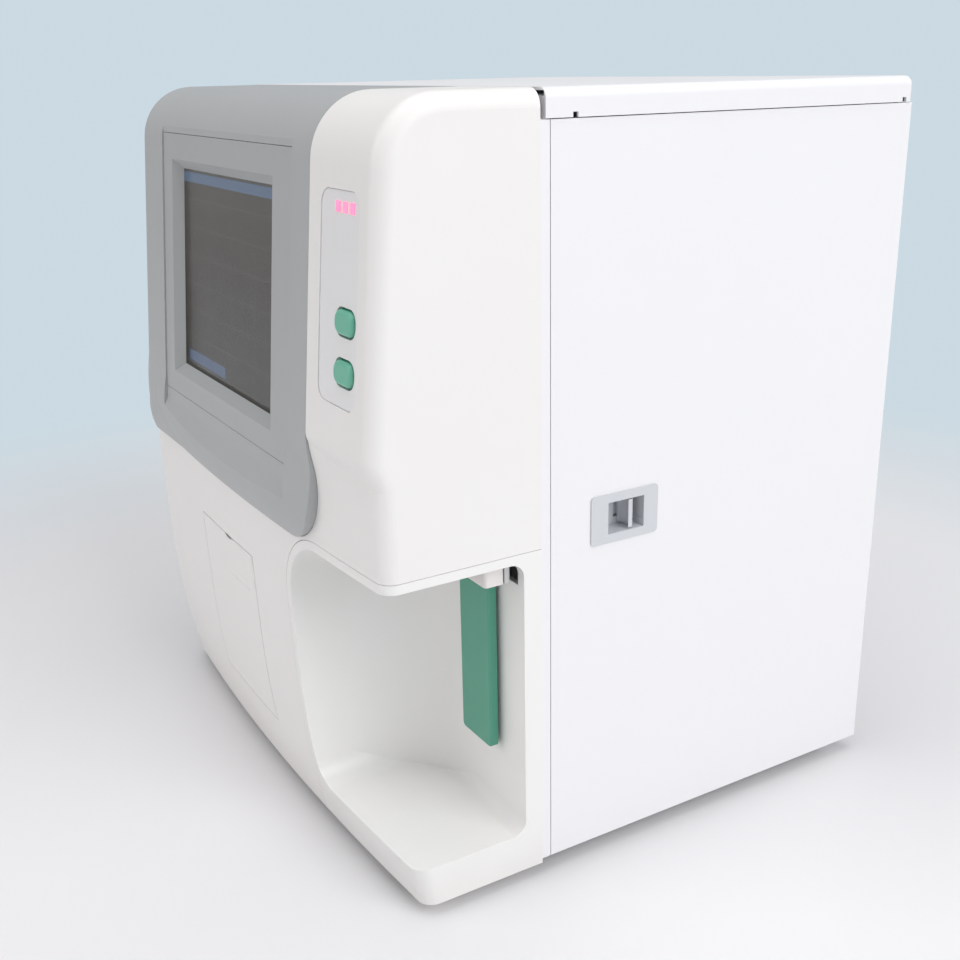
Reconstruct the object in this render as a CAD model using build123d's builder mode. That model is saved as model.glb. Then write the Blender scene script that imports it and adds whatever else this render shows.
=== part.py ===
from build123d import *
from math import cos, radians, sin, tan
import os

# Benchtop hematology analyzer. Millimetres, +Z up, X to the right of someone facing the
# screen, Y towards the rear. The origin is under the middle of the whole analyzer.

os.makedirs("parts", exist_ok=True)

# Overall case
half_width = 190.0
top_z = 430.0
floor_z = 8.0
rear_y = 178.0
mould_rear_y = -73.0
bulkhead_y = mould_rear_y + 3.0
door_front_y = -66.5

# Walls and clearances
mould_wall = 3.0
sheet = 1.5
seam = 0.3
running = 0.4

# Screen face, which leans back like a lectern
face_lean = 5.1
face_y = -157.4
face_z = 403.2
channel_depth = 1.0
crown_radius = 34.0
hood_corner = 31.0
column_corner = 9.0

# Lower front, a belly that is also bowed in plan
bow_rise = 8.0
belly = [(8.0, -156.5), (28.0, -160.3), (46.0, -163.6), (81.0, -168.0), (131.0, -170.8),
         (197.0, -172.2), (258.0, -172.2)]
belly_top_z = belly[-1][0]
waist_low_z = 243.0
waist_high_z = 264.0

# Chin of the screen hood
chin_seam_z = 198.5
chin_nose_z = 217.0
chin_nose_y = -178.0
ledge_z = 229.0
chin_top_z = 275.0
chin_foot_y = -173.6
hood_right = 116.5
hood_hip = 125.0
hood_hip_radius = 36.0

# Screen
bezel_left = -124.0
bezel_right = 93.0
bezel_low_z = 237.8
bezel_high_z = 403.2
window_left = -101.0
window_right = 60.0
window_low_z = 256.8
window_high_z = 382.3
window_bevel = 5.5
glass_sink = 6.0
glass_margin = 4.0
glass_thickness = 1.8
display_thickness = 9.0
bezel_flange = 3.0

# Control strip on the column
strip_left = 131.0
strip_right = 174.0
strip_low_z = 285.0
strip_high_z = 387.0
strip_depth = 1.6
strip_plate = 1.2
key_x = 161.0
key_width = 20.0
key_height = 12.0
key_corner = 5.4
key_gap = 1.2
feed_key_z = 326.5
sample_key_z = 302.4
key_proud = 1.5
lamp_x = 158.0
lamp_z = 379.3
lamp_pitch = 8.0
lamp_size = 5.0
key_travel = 1.5
board_depth = 14.0

# Sampling bay
bay_left = 79.0
bay_back_y = -84.0
bay_floor_z = 32.0
bay_ceiling_z = 196.0
bay_rim = 5.5
bay_front_radius = 38.5
bay_foot_radius = 14.0
bay_side_radius = 8.0
bay_plan_radius = 55.0

# Start plate and probe
plate_x = 149.8
pivot_y = -76.0
pivot_z = 160.0
pivot_radius = 1.5
plate_width = 31.5
plate_low_z = 76.0
plate_high_z = 181.0
plate_thickness = 5.0
plate_gap = 2.5
probe_x = 171.0
probe_y = -99.0
probe_travel = 72.0
probe_radius = 0.8
wash_low_z = 183.0
wash_high_z = 193.0
wash_left = 163.0
wash_right = 182.0
centre_x = 58.0
centre_rear_y = 150.0
rail_plate_x = 122.0
rail_x = 135.0
rail_front_y = bulkhead_y + 1.5
rail_rear_y = 60.0
rail_low_z = 300.0
rail_high_z = 384.0
rail_screw_z = 342.0
rail_radius = 4.0
screw_radius = 2.5
frame_x = 147.0
frame_rear_y = -42.0
lift_x = 163.0
lift_rod_y = -82.0
lift_screw_y = -62.0
lift_rod_radius = 3.0
lift_low_z = 206.0
lift_high_z = 398.0
slot_half = 13.0
traverse_travel = 84.0
first_bath_travel = 52.0
bath_radius = 13.0
bath_height = 66.0
bath_low_z = 94.0
syringe_x = 150.0
syringe_y = (40.0, 80.0)
syringe_plate_x = 130.0
syringe_low_z = 110.0
syringe_high_z = 190.0
barrel_radius = 9.0
plunger_radius = 3.0
motor_low_z = 62.0
motor_height = 28.0
valve_y = 10.0
valve_z = 215.0
valve_pitch = 21.0

# Side door and latch
door_low_z = floor_z + 2.0
cover_flange_z = top_z - 14.0
door_high_z = cover_flange_z - 0.5
hinge_x = half_width - 6.0
hinge_y = rear_y - 6.0
latch_y = -19.0
latch_z = 209.0
latch_length = 44.5
latch_height = 28.0
pocket_depth = 11.0
latch_travel = 4.0
strike_y = -58.0
pivot_pin = 2.5
door_wrap_x = 177.0
tab_width = 11.0
window_x0 = 120.0
window_x1 = 184.0

# Rear services
back_y = rear_y - 3.0
fan_x = -90.0
fan_z = 300.0
inlet_x = -150.0
inlet_z = 42.0
switch_z = 82.0
fan_half = 40.0
ports_x = -20.0
ports_z = 225.0
fit_x = 100.0
fit_z = 70.0

# Printer
printer_left = -73.0
printer_right = 22.0
printer_low_z = 46.0
printer_high_z = 161.5
slot_z = 119.0
door_axis_y = -161.6
door_axis_z = 50.8
trunnion = 0.9
door_gap = 0.6
scoop_low_z = 131.0
scoop_depth = 1.6
notch_x = -23.0
slot_x = -34.0
slot_height = 2.4
platen_y = -156.0
platen_z = 112.0
platen_radius = 6.0
platen_pin = 2.0
head_y = -149.0
bucket_left = -77.0
bucket_right = 26.0
bucket_rear_y = -92.0
roll_y = -121.0
roll_width = 57.0
roll_radius = 24.0

lean = tan(radians(face_lean))
apex_y = belly[-1][1]
bow_radius = half_width**2 / (2 * bow_rise)
bow_centre_y = apex_y + bow_radius
BOW_HALF_ANGLE = 6.0


def face_at(z):
    """Y of the leaning screen face at a height."""
    return face_y - lean * (face_z - z)


def save(piece, name):
    """Label a finished piece and write its STEP file."""
    piece.part.label = name
    export_step(piece.part, f"parts/{name}.step")


def bow_plane():
    """Vertical sketch plane at one end of the bow: X is the distance from the bow's axis."""
    a = radians(-BOW_HALF_ANGLE)
    return Plane(origin=(0, bow_centre_y, 0), x_dir=(sin(a), -cos(a), 0), z_dir=(-cos(a), -sin(a), 0))


def belly_form(inset):
    """The bowed lower front, solid, with every outer face moved in by the inset."""
    with BuildPart() as form:
        with BuildSketch(bow_plane()):
            with BuildLine():
                outline = [(bow_centre_y - y - inset, z) for z, y in belly]
                outline[0] = (outline[0][0], floor_z + inset)
                curve = Spline(*outline)
                over = Line(curve @ 1, (bow_centre_y + 40, belly_top_z))
                down = Line(over @ 1, (bow_centre_y + 40, floor_z + inset))
                Line(down @ 1, curve @ 0)
            make_face()
        revolve(axis=Axis((0, bow_centre_y, 0), (0, 0, 1)), revolution_arc=2 * BOW_HALF_ANGLE)
        with BuildSketch(Plane.XY):
            with Locations((0, mould_rear_y + inset * 2)):
                Rectangle(2 * (half_width - inset), 400, align=(Align.CENTER, Align.MAX))
        extrude(amount=belly_top_z, mode=Mode.INTERSECT)
    return form.part


def column_form(inset):
    """The upper front behind the leaning face, solid, with its outer faces moved in by the inset."""
    with BuildPart() as form:
        with BuildSketch(Plane.YZ.offset(-half_width + inset)):
            with BuildLine():
                rear = mould_rear_y + inset * 2
                waist_y = apex_y + bow_rise + inset
                a = Line((rear, waist_low_z - 30), (waist_y, waist_low_z - 30))
                b = Line(a @ 1, (waist_y, waist_low_z))
                nose = (face_at(waist_high_z) + inset, waist_high_z)
                c = Spline(b @ 1, nose, tangents=((0, 1), (lean, 1)))
                crown_y = face_at(top_z - inset) + inset
                d = Line(c @ 1, (crown_y, top_z - inset))
                e = Line(d @ 1, (rear, top_z - inset))
                Line(e @ 1, a @ 0)
            make_face()
            crown = vertices().sort_by(Axis.Y)[-2:].sort_by(Axis.X)[0]
            fillet(crown, crown_radius - inset)
        extrude(amount=2 * (half_width - inset))
    return form.part


def hood_region(grow):
    """Everything that belongs to the screen hood, seen from the front."""
    with BuildPart() as region:
        with BuildSketch(Plane.XZ.offset(-mould_rear_y)):
            with BuildLine():
                r = hood_hip_radius + grow
                right = hood_right + grow
                hip = hood_hip + grow
                low = chin_seam_z - grow
                a = Line((-half_width - 20, low), (hip - r, low))
                b = RadiusArc(a @ 1, (hip, low + r), -r)
                c = Spline(b @ 1, (right, waist_high_z), tangents=((0, 1), (0, 1)))
                d = Line(c @ 1, (right, top_z + 20))
                e = Line(d @ 1, (-half_width - 20, top_z + 20))
                Line(e @ 1, a @ 0)
            make_face()
        extrude(amount=160)
    return region.part


def bay_region(grow):
    """The corner of the front that the sampling bay's liner fills, seen from the front."""
    with BuildPart() as region:
        with BuildSketch(Plane.XZ.offset(-mould_rear_y)):
            with BuildLine():
                left = bay_left - bay_rim - grow
                top = bay_ceiling_z + bay_rim + grow
                r = bay_front_radius + bay_rim
                a = Line((half_width + 20, top), (left + r, top))
                b = RadiusArc(a @ 1, (left, top - r), -r)
                c = Line(b @ 1, (left, floor_z - 20))
                d = Line(c @ 1, (half_width + 20, floor_z - 20))
                Line(d @ 1, a @ 0)
            make_face()
        extrude(amount=160)
    return region.part


def edge_chain(form, x, low, high):
    """The front edges of a form at one side, between two heights."""
    side = form.edges().filter_by(lambda e: abs((e @ 0).X - x) < 0.01 and abs((e @ 1).X - x) < 0.01)
    return side.filter_by(lambda e: low < e.center().Z < high and e.center().Y < mould_rear_y - 8)


def rounded_belly(inset, corner):
    """The lower front with its two upright corners rounded."""
    with BuildPart() as form:
        add(belly_form(inset))
        for x in (half_width - inset, inset - half_width):
            fillet(edge_chain(form.part, x, floor_z + inset + 2, belly_top_z - 2), corner)
    return form.part


def rounded_column(inset, corner):
    """The upper front with its right edge rounded over the crown."""
    with BuildPart() as form:
        add(column_form(inset))
        fillet(edge_chain(form.part, half_width - inset, waist_low_z - 29, top_z + 1), corner)
    return form.part


def face_plane(depth):
    """The leaning screen face, moved back by a depth. Its origin is at the bezel's top edge."""
    a = radians(face_lean)
    return Plane(origin=(0, face_y, face_z), x_dir=(1, 0, 0), z_dir=(0, -cos(a), sin(a))).offset(-depth)


def up_face(z):
    """Distance along the leaning face from its origin to a height."""
    return (z - face_z) / cos(radians(face_lean))


def face_slab(left, right, low, high, front, back, corner=0.0):
    """A slab parallel to the leaning face, between two depths behind it."""
    with BuildPart() as slab:
        with BuildSketch(face_plane(back)):
            with Locations(((left + right) / 2, (up_face(low) + up_face(high)) / 2)):
                if corner > 0:
                    RectangleRounded(right - left, up_face(high) - up_face(low), corner)
                else:
                    Rectangle(right - left, up_face(high) - up_face(low))
        extrude(amount=back - front)
    return slab.part


def block(x, y, z, corner=0.0):
    """A block between pairs of limits, its upright edges rounded when asked."""
    with BuildPart() as solid:
        with BuildSketch(Plane.XY.offset(z[0])):
            with Locations(((x[0] + x[1]) / 2, (y[0] + y[1]) / 2)):
                if corner > 0:
                    RectangleRounded(x[1] - x[0], y[1] - y[0], corner)
                else:
                    Rectangle(x[1] - x[0], y[1] - y[0])
        extrude(amount=z[1] - z[0])
    return solid.part


def rod(start, direction, radius, length):
    """A round bar from a point along an axis."""
    with BuildPart() as bar:
        with BuildSketch(Plane(origin=start, z_dir=direction)):
            Circle(radius)
        extrude(amount=length)
    return bar.part


# Front shell: one white moulding, with the control column, the lower front and its side walls
with BuildPart() as front_shell:
    add(rounded_belly(0, column_corner))
    add(rounded_column(0, column_corner))
    add(rounded_belly(mould_wall, column_corner - mould_wall), mode=Mode.SUBTRACT)
    add(rounded_column(mould_wall, column_corner - mould_wall), mode=Mode.SUBTRACT)
    add(hood_region(seam), mode=Mode.SUBTRACT)
    add(bay_region(0), mode=Mode.SUBTRACT)
    # shallow recess for the control strip, and the key and lamp openings in its floor
    add(face_slab(strip_left, strip_right, strip_low_z, strip_high_z, -2, strip_depth, 8), mode=Mode.SUBTRACT)
    for key_z in (feed_key_z, sample_key_z):
        add(face_slab(key_x - key_width / 2 - key_gap, key_x + key_width / 2 + key_gap,
                      key_z - key_height / 2 - key_gap, key_z + key_height / 2 + key_gap,
                      0, 10, key_corner + key_gap), mode=Mode.SUBTRACT)
    add(face_slab(lamp_x - lamp_pitch - lamp_size, lamp_x + lamp_pitch + lamp_size,
                  lamp_z - lamp_size, lamp_z + lamp_size, 0, 10), mode=Mode.SUBTRACT)
    # paper door opening, with the trunnion holes in its side edges
    add(block((printer_left, printer_right), (-200, -120), (printer_low_z, printer_high_z)),
        mode=Mode.SUBTRACT)
    add(rod((printer_left - 3, door_axis_y, door_axis_z), (1, 0, 0), trunnion + running / 4,
            printer_right - printer_left + 6), mode=Mode.SUBTRACT)
save(front_shell, "front_shell")

# Printer door: lower-left flap with the paper slot, hung on two moulded trunnions
with BuildPart() as printer_door:
    add(rounded_belly(0, column_corner))
    add(rounded_belly(mould_wall, column_corner - mould_wall), mode=Mode.SUBTRACT)
    add(block((printer_left + door_gap, printer_right - door_gap), (-200, -120),
              (printer_low_z + door_gap, printer_high_z - door_gap)), mode=Mode.INTERSECT)
    # finger scoop below the top edge, ending in a lip
    with BuildSketch(Plane.XZ.offset(-apex_y - scoop_depth)):
        with Locations(((printer_left + printer_right) / 2 - 2, (scoop_low_z + printer_high_z) / 2 + 1)):
            RectangleRounded(printer_right - printer_left - 14, printer_high_z - scoop_low_z - 4, 4)
    extrude(amount=20, mode=Mode.SUBTRACT)
    # thumb notch in the top edge and the slot that the paper leaves by
    with BuildSketch(Plane.XZ.offset(100)):
        with Locations((notch_x, printer_high_z)):
            Ellipse(8, 3.4)
        with Locations((slot_x, slot_z)):
            SlotOverall(roll_width + 7, slot_height)
    extrude(amount=100, mode=Mode.SUBTRACT)
    add(rod((printer_left - 2, door_axis_y, door_axis_z), (1, 0, 0), trunnion,
            printer_right - printer_left + 4))
    # two ears that carry the platen roller behind the slot
    for side in (-1, 1):
        ear_x = slot_x + side * (roll_width / 2 + 4)
        add(block((ear_x - 1.2, ear_x + 1.2), (platen_y - 5, -168.5), (platen_z - 5, platen_z + 5)))
        add(rod((ear_x - 2, platen_y, platen_z), (1, 0, 0), platen_pin + running / 4, 4), mode=Mode.SUBTRACT)
save(printer_door, "printer_door")

# Platen roller: rubber sleeve on a steel shaft, turned as one
with BuildPart() as platen_roller:
    add(rod((slot_x - roll_width / 2 - 1, platen_y, platen_z), (1, 0, 0), platen_radius, roll_width + 2))
    add(rod((slot_x - roll_width / 2 - 5, platen_y, platen_z), (1, 0, 0), platen_pin, roll_width + 10))
save(platen_roller, "platen_roller")

# Printer body: bucket for the paper roll, its rim screwed to the back of the front shell
with BuildPart() as printer_body:
    add(belly_form(mould_wall + seam / 3))
    with BuildPart(mode=Mode.PRIVATE) as bucket_outside:
        add(block((bucket_left, bucket_right), (-200, bucket_rear_y), (printer_low_z - 4, printer_high_z + 4)))
        add(belly_form(mould_wall + seam / 3), mode=Mode.INTERSECT)
    with BuildPart(mode=Mode.PRIVATE) as rim_outside:
        add(block((bucket_left - 7, bucket_right + 7), (-200, -120), (printer_low_z - 8, printer_high_z + 8)))
        add(belly_form(mould_wall + 2.5), mode=Mode.SUBTRACT)
    add(bucket_outside.part + rim_outside.part, mode=Mode.INTERSECT)
    add(block((bucket_left + 2, bucket_right - 2), (-200, bucket_rear_y - 2),
              (printer_low_z - 2, printer_high_z + 2)), mode=Mode.SUBTRACT)
save(printer_body, "printer_body")

# Thermal print head: a bar across the bucket, in front of the platen
with BuildPart() as print_head:
    add(block((bucket_left + 2, bucket_right - 2), (head_y, head_y + 7), (platen_z - 9, platen_z + 9)))
    with BuildSketch(Plane.XZ.offset(-head_y)):
        with Locations((slot_x, platen_z)):
            Rectangle(roll_width, 6)
    extrude(amount=0.8)
save(print_head, "print_head")

# Paper roll: resting on the bucket's floor
roll_centre_z = printer_low_z - 2 + roll_radius + seam
with BuildPart() as paper_roll:
    with BuildSketch(Plane.YZ.offset(slot_x - roll_width / 2)):
        with Locations((roll_y, roll_centre_z)):
            Circle(roll_radius)
            Circle(6, mode=Mode.SUBTRACT)
    extrude(amount=roll_width)
save(paper_roll, "paper_roll")


def bay_space(grow):
    """The open space of the sampling bay, grown on every side that has a wall."""
    left, back = bay_left - grow, bay_back_y + grow
    low, high = bay_floor_z - grow, bay_ceiling_z + grow
    with BuildPart() as space:
        with BuildSketch(Plane.XZ.offset(-back)):
            with BuildLine():
                r = bay_front_radius + grow
                f = bay_foot_radius + grow
                a = Line((half_width + 40, high), (left + r, high))
                b = RadiusArc(a @ 1, (left, high - r), -r)
                c = Line(b @ 1, (left, low + f))
                d = RadiusArc(c @ 1, (left + f, low), -f)
                e = Line(d @ 1, (half_width + 40, low))
                Line(e @ 1, a @ 0)
            make_face()
        extrude(amount=140)
        with BuildSketch(Plane.YZ.offset(left)):
            with Locations(((back - 240) / 2, (low + high) / 2)):
                RectangleRounded(back + 240, high - low, bay_side_radius + grow)
        extrude(amount=200, mode=Mode.INTERSECT)
        with BuildSketch(Plane.XY.offset(low)):
            with BuildLine():
                p = bay_plan_radius + grow
                a = Line((left, -240), (left, back - p))
                b = RadiusArc(a @ 1, (left + p, back), p)
                c = Line(b @ 1, (half_width + 40, back))
                d = Line(c @ 1, (half_width + 40, -240))
                Line(d @ 1, a @ 0)
            make_face()
        extrude(amount=high - low, mode=Mode.INTERSECT)
    return space.part


# Sampling bay liner: one white tub with a rim flush with the shell, open to the front and right
slot_left, slot_right = probe_x - slot_half, probe_x + slot_half
plate_left, plate_right = plate_x - plate_width / 2, plate_x + plate_width / 2
with BuildPart() as bay_liner:
    add(rounded_belly(0, column_corner))
    add(bay_region(-seam), mode=Mode.INTERSECT)
    with BuildPart(mode=Mode.PRIVATE) as liner_hollow:
        add(rounded_belly(mould_wall, column_corner - mould_wall))
        add(bay_region(-seam - mould_wall), mode=Mode.INTERSECT)
        add(bay_space(mould_wall), mode=Mode.SUBTRACT)
    add(liner_hollow.part, mode=Mode.SUBTRACT)
    add(bay_space(0), mode=Mode.SUBTRACT)
    # slot for the travelling probe, open to the rear, and the window behind the start plate
    add(block((slot_left, slot_right), (probe_y - 14, mould_rear_y + 10), (wash_low_z - 1.5, 230)),
        mode=Mode.SUBTRACT)
    add(block((plate_left + 4, plate_right - 4), (bay_back_y - 1, mould_rear_y + 10),
              (pivot_z - 7, pivot_z + 7)), mode=Mode.SUBTRACT)
save(bay_liner, "bay_liner")

# Start plate: the green key pushed back by the sample tube, hung from a pin behind the wall
plate_front_y = bay_back_y - plate_gap - plate_thickness
ear_inset = 8.0
with BuildPart() as start_plate:
    with BuildSketch(Plane.XZ.offset(-plate_front_y - plate_thickness)):
        with Locations((plate_x, (plate_low_z + plate_high_z) / 2)):
            RectangleRounded(plate_width, plate_high_z - plate_low_z, 3)
    extrude(amount=plate_thickness)
    rim = faces().sort_by(Axis.Y)[0].edges()
    fillet(rim, 1.2)
    for side in (-1, 1):
        ear_x = plate_x + side * (plate_width / 2 - ear_inset)
        add(block((ear_x - 1.5, ear_x + 1.5), (plate_front_y + plate_thickness, pivot_y + 4),
                  (pivot_z - 4, pivot_z + 4)))
        add(rod((ear_x - 2, pivot_y, pivot_z), (1, 0, 0), pivot_radius + running / 8, 4), mode=Mode.SUBTRACT)
save(start_plate, "start_plate")

# Bracket and pin behind the bay's back wall
bracket_half = plate_width / 2 + 1
with BuildPart() as plate_bracket:
    add(block((plate_x - bracket_half - 6, plate_x + bracket_half + 6),
              (bay_back_y + mould_wall, bay_back_y + mould_wall + sheet), (pivot_z - 14, pivot_z + 11)))
    add(block((plate_x - bracket_half + 4, plate_x + bracket_half - 4),
              (bay_back_y, pivot_y), (pivot_z - 7, pivot_z + 7)), mode=Mode.SUBTRACT)
    for side in (-1, 1):
        wall_x = plate_x + side * bracket_half
        add(block((wall_x - sheet / 2, wall_x + sheet / 2), (bay_back_y + mould_wall, pivot_y + 3),
                  (pivot_z - 5, pivot_z + 5)))
        add(rod((wall_x - 2, pivot_y, pivot_z), (1, 0, 0), pivot_radius, 4), mode=Mode.SUBTRACT)
save(plate_bracket, "plate_bracket")

with BuildPart() as plate_pin:
    add(rod((plate_x - bracket_half - 2, pivot_y, pivot_z), (1, 0, 0), pivot_radius, 2 * bracket_half + 4))
save(plate_pin, "plate_pin")


def chin_form(inset):
    """The bowed chin under the screen, solid, its outer faces moved in by the inset."""
    with BuildPart() as form:
        with BuildSketch(bow_plane()):
            with BuildLine():
                def r(y):
                    return bow_centre_y - y - inset
                low = chin_seam_z - 14
                nose = (r(chin_nose_y), chin_nose_z)
                a = Spline((r(face_at(chin_top_z)), chin_top_z), nose, tangents=((lean, -1), (-0.05, -1)))
                b = Spline(nose, (r(chin_foot_y), chin_seam_z), (r(chin_foot_y + 6), low),
                           tangents=((-0.05, -1), (-0.6, -1)))
                c = Line(b @ 1, (r(-120), low))
                d = Line(c @ 1, (r(-120), chin_top_z))
                Line(d @ 1, a @ 0)
            make_face()
        revolve(axis=Axis((0, bow_centre_y, 0), (0, 0, 1)), revolution_arc=2 * BOW_HALF_ANGLE)
        # plan outline whose left corner follows the hood's own corner
        front = face_at(chin_nose_z) + inset
        with BuildSketch(Plane.XY.offset(chin_seam_z - 20)):
            with BuildLine():
                left = inset - half_width + seam
                k = hood_corner - inset
                p = Line((half_width, -100), (left, -100))
                q = Line(p @ 1, (left, front + k))
                t = RadiusArc(q @ 1, (left + k, front), -k)
                u = Line(t @ 1, (left + k + 20, front - 10))
                v = Line(u @ 1, (half_width, front - 10))
                Line(v @ 1, p @ 0)
            make_face()
        extrude(amount=120, mode=Mode.INTERSECT)
    return form.part


def hood_form(inset):
    """The whole outside of the screen hood, before the screen's channel is cut."""
    with BuildPart() as form:
        with BuildSketch(Plane.YZ.offset(inset - half_width)):
            with BuildLine():
                rear = mould_rear_y + inset * 2
                low = chin_seam_z - 14
                foot = (face_at(chin_nose_z) + inset + 9, low)
                a = Line((rear, low), foot)
                c = Spline(foot, (face_at(chin_nose_z) + inset, chin_nose_z), tangents=((-0.5, 1), (lean, 1)))
                d = Line(c @ 1, (face_at(top_z - inset) + inset, top_z - inset))
                e = Line(d @ 1, (rear, top_z - inset))
                Line(e @ 1, a @ 0)
            make_face()
            crown = vertices().sort_by(Axis.Y)[-2:].sort_by(Axis.X)[0]
            fillet(crown, crown_radius - inset)
        extrude(amount=half_width + hood_hip + 10)
        fillet(edge_chain(form.part, inset - half_width, chin_seam_z - 13, top_z + 1), hood_corner - inset)
        add(chin_form(inset))
    return form.part


def screen_channel(grow):
    """The flat channel that the screen sits in, with a ledge over the chin at its foot."""
    with BuildPart() as channel:
        with BuildSketch(Plane.YZ.offset(bezel_left - grow)):
            with BuildLine():
                depth = channel_depth + grow
                crest = (chin_nose_y - 0.5 + grow, chin_nose_z - 0.5 - grow)
                a = Line((face_at(ledge_z) + depth, ledge_z - grow), crest)
                b = Line(a @ 1, (-215, crest[1]))
                c = Line(b @ 1, (-215, 460))
                d = Line(c @ 1, (face_at(460) + depth, 460))
                Line(d @ 1, a @ 0)
            make_face()
        extrude(amount=bezel_right - bezel_left + 2 * grow)
        floor_edge = edges().filter_by(Axis.X).sort_by(Axis.Y)[-2:].sort_by(Axis.Z)[0]
        fillet(floor_edge, 9)
    return channel.part


# Screen hood: grey moulding over the left two thirds, with a flat channel for the screen
channel_wall = mould_wall - channel_depth
with BuildPart() as screen_hood:
    add(hood_form(0))
    add(screen_channel(0), mode=Mode.SUBTRACT)
    with BuildPart(mode=Mode.PRIVATE) as hood_inside:
        add(hood_form(mould_wall))
        add(screen_channel(channel_wall), mode=Mode.SUBTRACT)
        # the skin turns back along its lower right edge, where it stands proud of the shell
        with BuildPart(mode=Mode.PRIVATE) as hip_rim:
            add(block((hood_hip - 60, hood_right + 20), (-200, -136), (chin_seam_z - 10, ledge_z + 30)))
            add(hood_region(-mould_wall), mode=Mode.SUBTRACT)
        add(hip_rim.part, mode=Mode.SUBTRACT)
    add(hood_inside.part, mode=Mode.SUBTRACT)
    add(hood_region(0), mode=Mode.INTERSECT)
    add(face_slab(bezel_left - 0.2, bezel_right + 0.2, bezel_low_z - seam, bezel_high_z + seam, -10, 12),
        mode=Mode.SUBTRACT)
save(screen_hood, "screen_hood")

# Screen bezel: plate flush with the channel, a hidden flange and a bevelled window collar
with BuildPart() as screen_bezel:
    add(face_slab(bezel_left, bezel_right, bezel_low_z, bezel_high_z, channel_depth, mould_wall))
    add(face_slab(bezel_left - bezel_flange, bezel_right + bezel_flange, bezel_low_z - bezel_flange,
                  bezel_high_z - 7, mould_wall + seam, mould_wall + seam / 3 + 2))
    add(face_slab(bezel_left + 2, bezel_right - 2, bezel_low_z + 2, bezel_high_z - 2, 2, mould_wall + 1))
    add(face_slab(window_left - 9, window_right + 9, window_low_z - 9, window_high_z + 9,
                  channel_depth + 1, channel_depth + glass_sink))
    for depth, spread in ((-0.5, window_bevel * 1.08), (glass_sink + 0.5, -0.5)):
        with BuildSketch(face_plane(channel_depth + depth)):
            with Locations(((window_left + window_right) / 2,
                            (up_face(window_low_z) + up_face(window_high_z)) / 2)):
                Rectangle(window_right - window_left + 2 * spread,
                          up_face(window_high_z) - up_face(window_low_z) + 2 * spread)
    loft(mode=Mode.SUBTRACT)
save(screen_bezel, "screen_bezel")

# Touch glass and the display module behind it
glass_front = channel_depth + glass_sink + seam / 3
with BuildPart() as touch_glass:
    add(face_slab(window_left - glass_margin, window_right + glass_margin, window_low_z - glass_margin,
                  window_high_z + glass_margin, glass_front, glass_front + glass_thickness))
save(touch_glass, "touch_glass")

display_front = glass_front + glass_thickness + seam / 3
with BuildPart() as display_module:
    add(face_slab(window_left - glass_margin - 2, window_right + glass_margin + 2,
                  window_low_z - glass_margin - 2, window_high_z + glass_margin + 2,
                  display_front, display_front + display_thickness))
    add(face_slab(window_left + 20, window_right - 20, window_low_z + 20, window_high_z - 20,
                  display_front + display_thickness, display_front + display_thickness + 3))
save(display_module, "display_module")

# Display bracket: folded plate that clamps the display against the bezel's collar
bracket_front = display_front + display_thickness
with BuildPart() as display_bracket:
    add(face_slab(window_left - 14, window_right + 14, window_low_z - 9, window_high_z + 9,
                  bracket_front, bracket_front + sheet))
    add(face_slab(window_left + 12, window_right - 12, window_low_z + 12, window_high_z - 12,
                  bracket_front - 1, bracket_front + sheet + 1), mode=Mode.SUBTRACT)
    for side_x in (window_left - 14, window_right + 14 - sheet):
        add(face_slab(side_x, side_x + sheet, window_low_z - 9, window_high_z + 9,
                      mould_wall + seam / 3 + 2, bracket_front))
save(display_bracket, "display_bracket")

# Control strip: thin insert in the column's recess, with key and lamp openings
with BuildPart() as control_strip:
    add(face_slab(strip_left + seam, strip_right - seam, strip_low_z + seam, strip_high_z - seam,
                  strip_depth - strip_plate, strip_depth, 8 - seam))
    for key_z in (feed_key_z, sample_key_z):
        add(face_slab(key_x - key_width / 2 - key_gap, key_x + key_width / 2 + key_gap,
                      key_z - key_height / 2 - key_gap, key_z + key_height / 2 + key_gap,
                      -3, 10, key_corner + key_gap), mode=Mode.SUBTRACT)
    for step in (-1, 0, 1):
        at = lamp_x + step * lamp_pitch
        add(face_slab(at - lamp_size / 2 - 0.1, at + lamp_size / 2 + 0.1, lamp_z - lamp_size / 2 - 0.1,
                      lamp_z + lamp_size / 2 + 0.1, -3, 10), mode=Mode.SUBTRACT)
save(control_strip, "control_strip")

# Lamp lens: one clear moulding with three windows
with BuildPart() as lamp_lens:
    for step in (-1, 0, 1):
        at = lamp_x + step * lamp_pitch
        add(face_slab(at - lamp_size / 2, at + lamp_size / 2, lamp_z - lamp_size / 2, lamp_z + lamp_size / 2,
                      strip_depth - strip_plate - 0.3, mould_wall + 2))
    add(face_slab(lamp_x - lamp_pitch - lamp_size + 0.4, lamp_x + lamp_pitch + lamp_size - 0.4,
                  lamp_z - lamp_size + 0.4, lamp_z + lamp_size - 0.4, strip_depth + 0.05, board_depth))
save(lamp_lens, "lamp_lens")


def push_key(height):
    """A domed key with a stop flange behind the wall and a stem to its switch."""
    with BuildPart() as key:
        add(face_slab(key_x - key_width / 2, key_x + key_width / 2, height - key_height / 2,
                      height + key_height / 2, -key_proud, mould_wall + 2.2, key_corner))
        add(face_slab(key_x - key_width / 2 - 3, key_x + key_width / 2 + 3, height - key_height / 2 - 3,
                      height + key_height / 2 + 3, mould_wall + seam, mould_wall + 2.2, 2))
        add(face_slab(key_x - 2, key_x + 2, height - 2, height + 2, mould_wall + 2.2,
                      board_depth - 4 - key_travel - 0.2))
        outer = key.faces().sort_by(Axis.Y)[0].edges()
        fillet(outer, 2.2)
    return key


paper_feed_key = push_key(feed_key_z)
save(paper_feed_key, "paper_feed_key")
sampling_key = push_key(sample_key_z)
save(sampling_key, "sampling_key")

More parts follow.
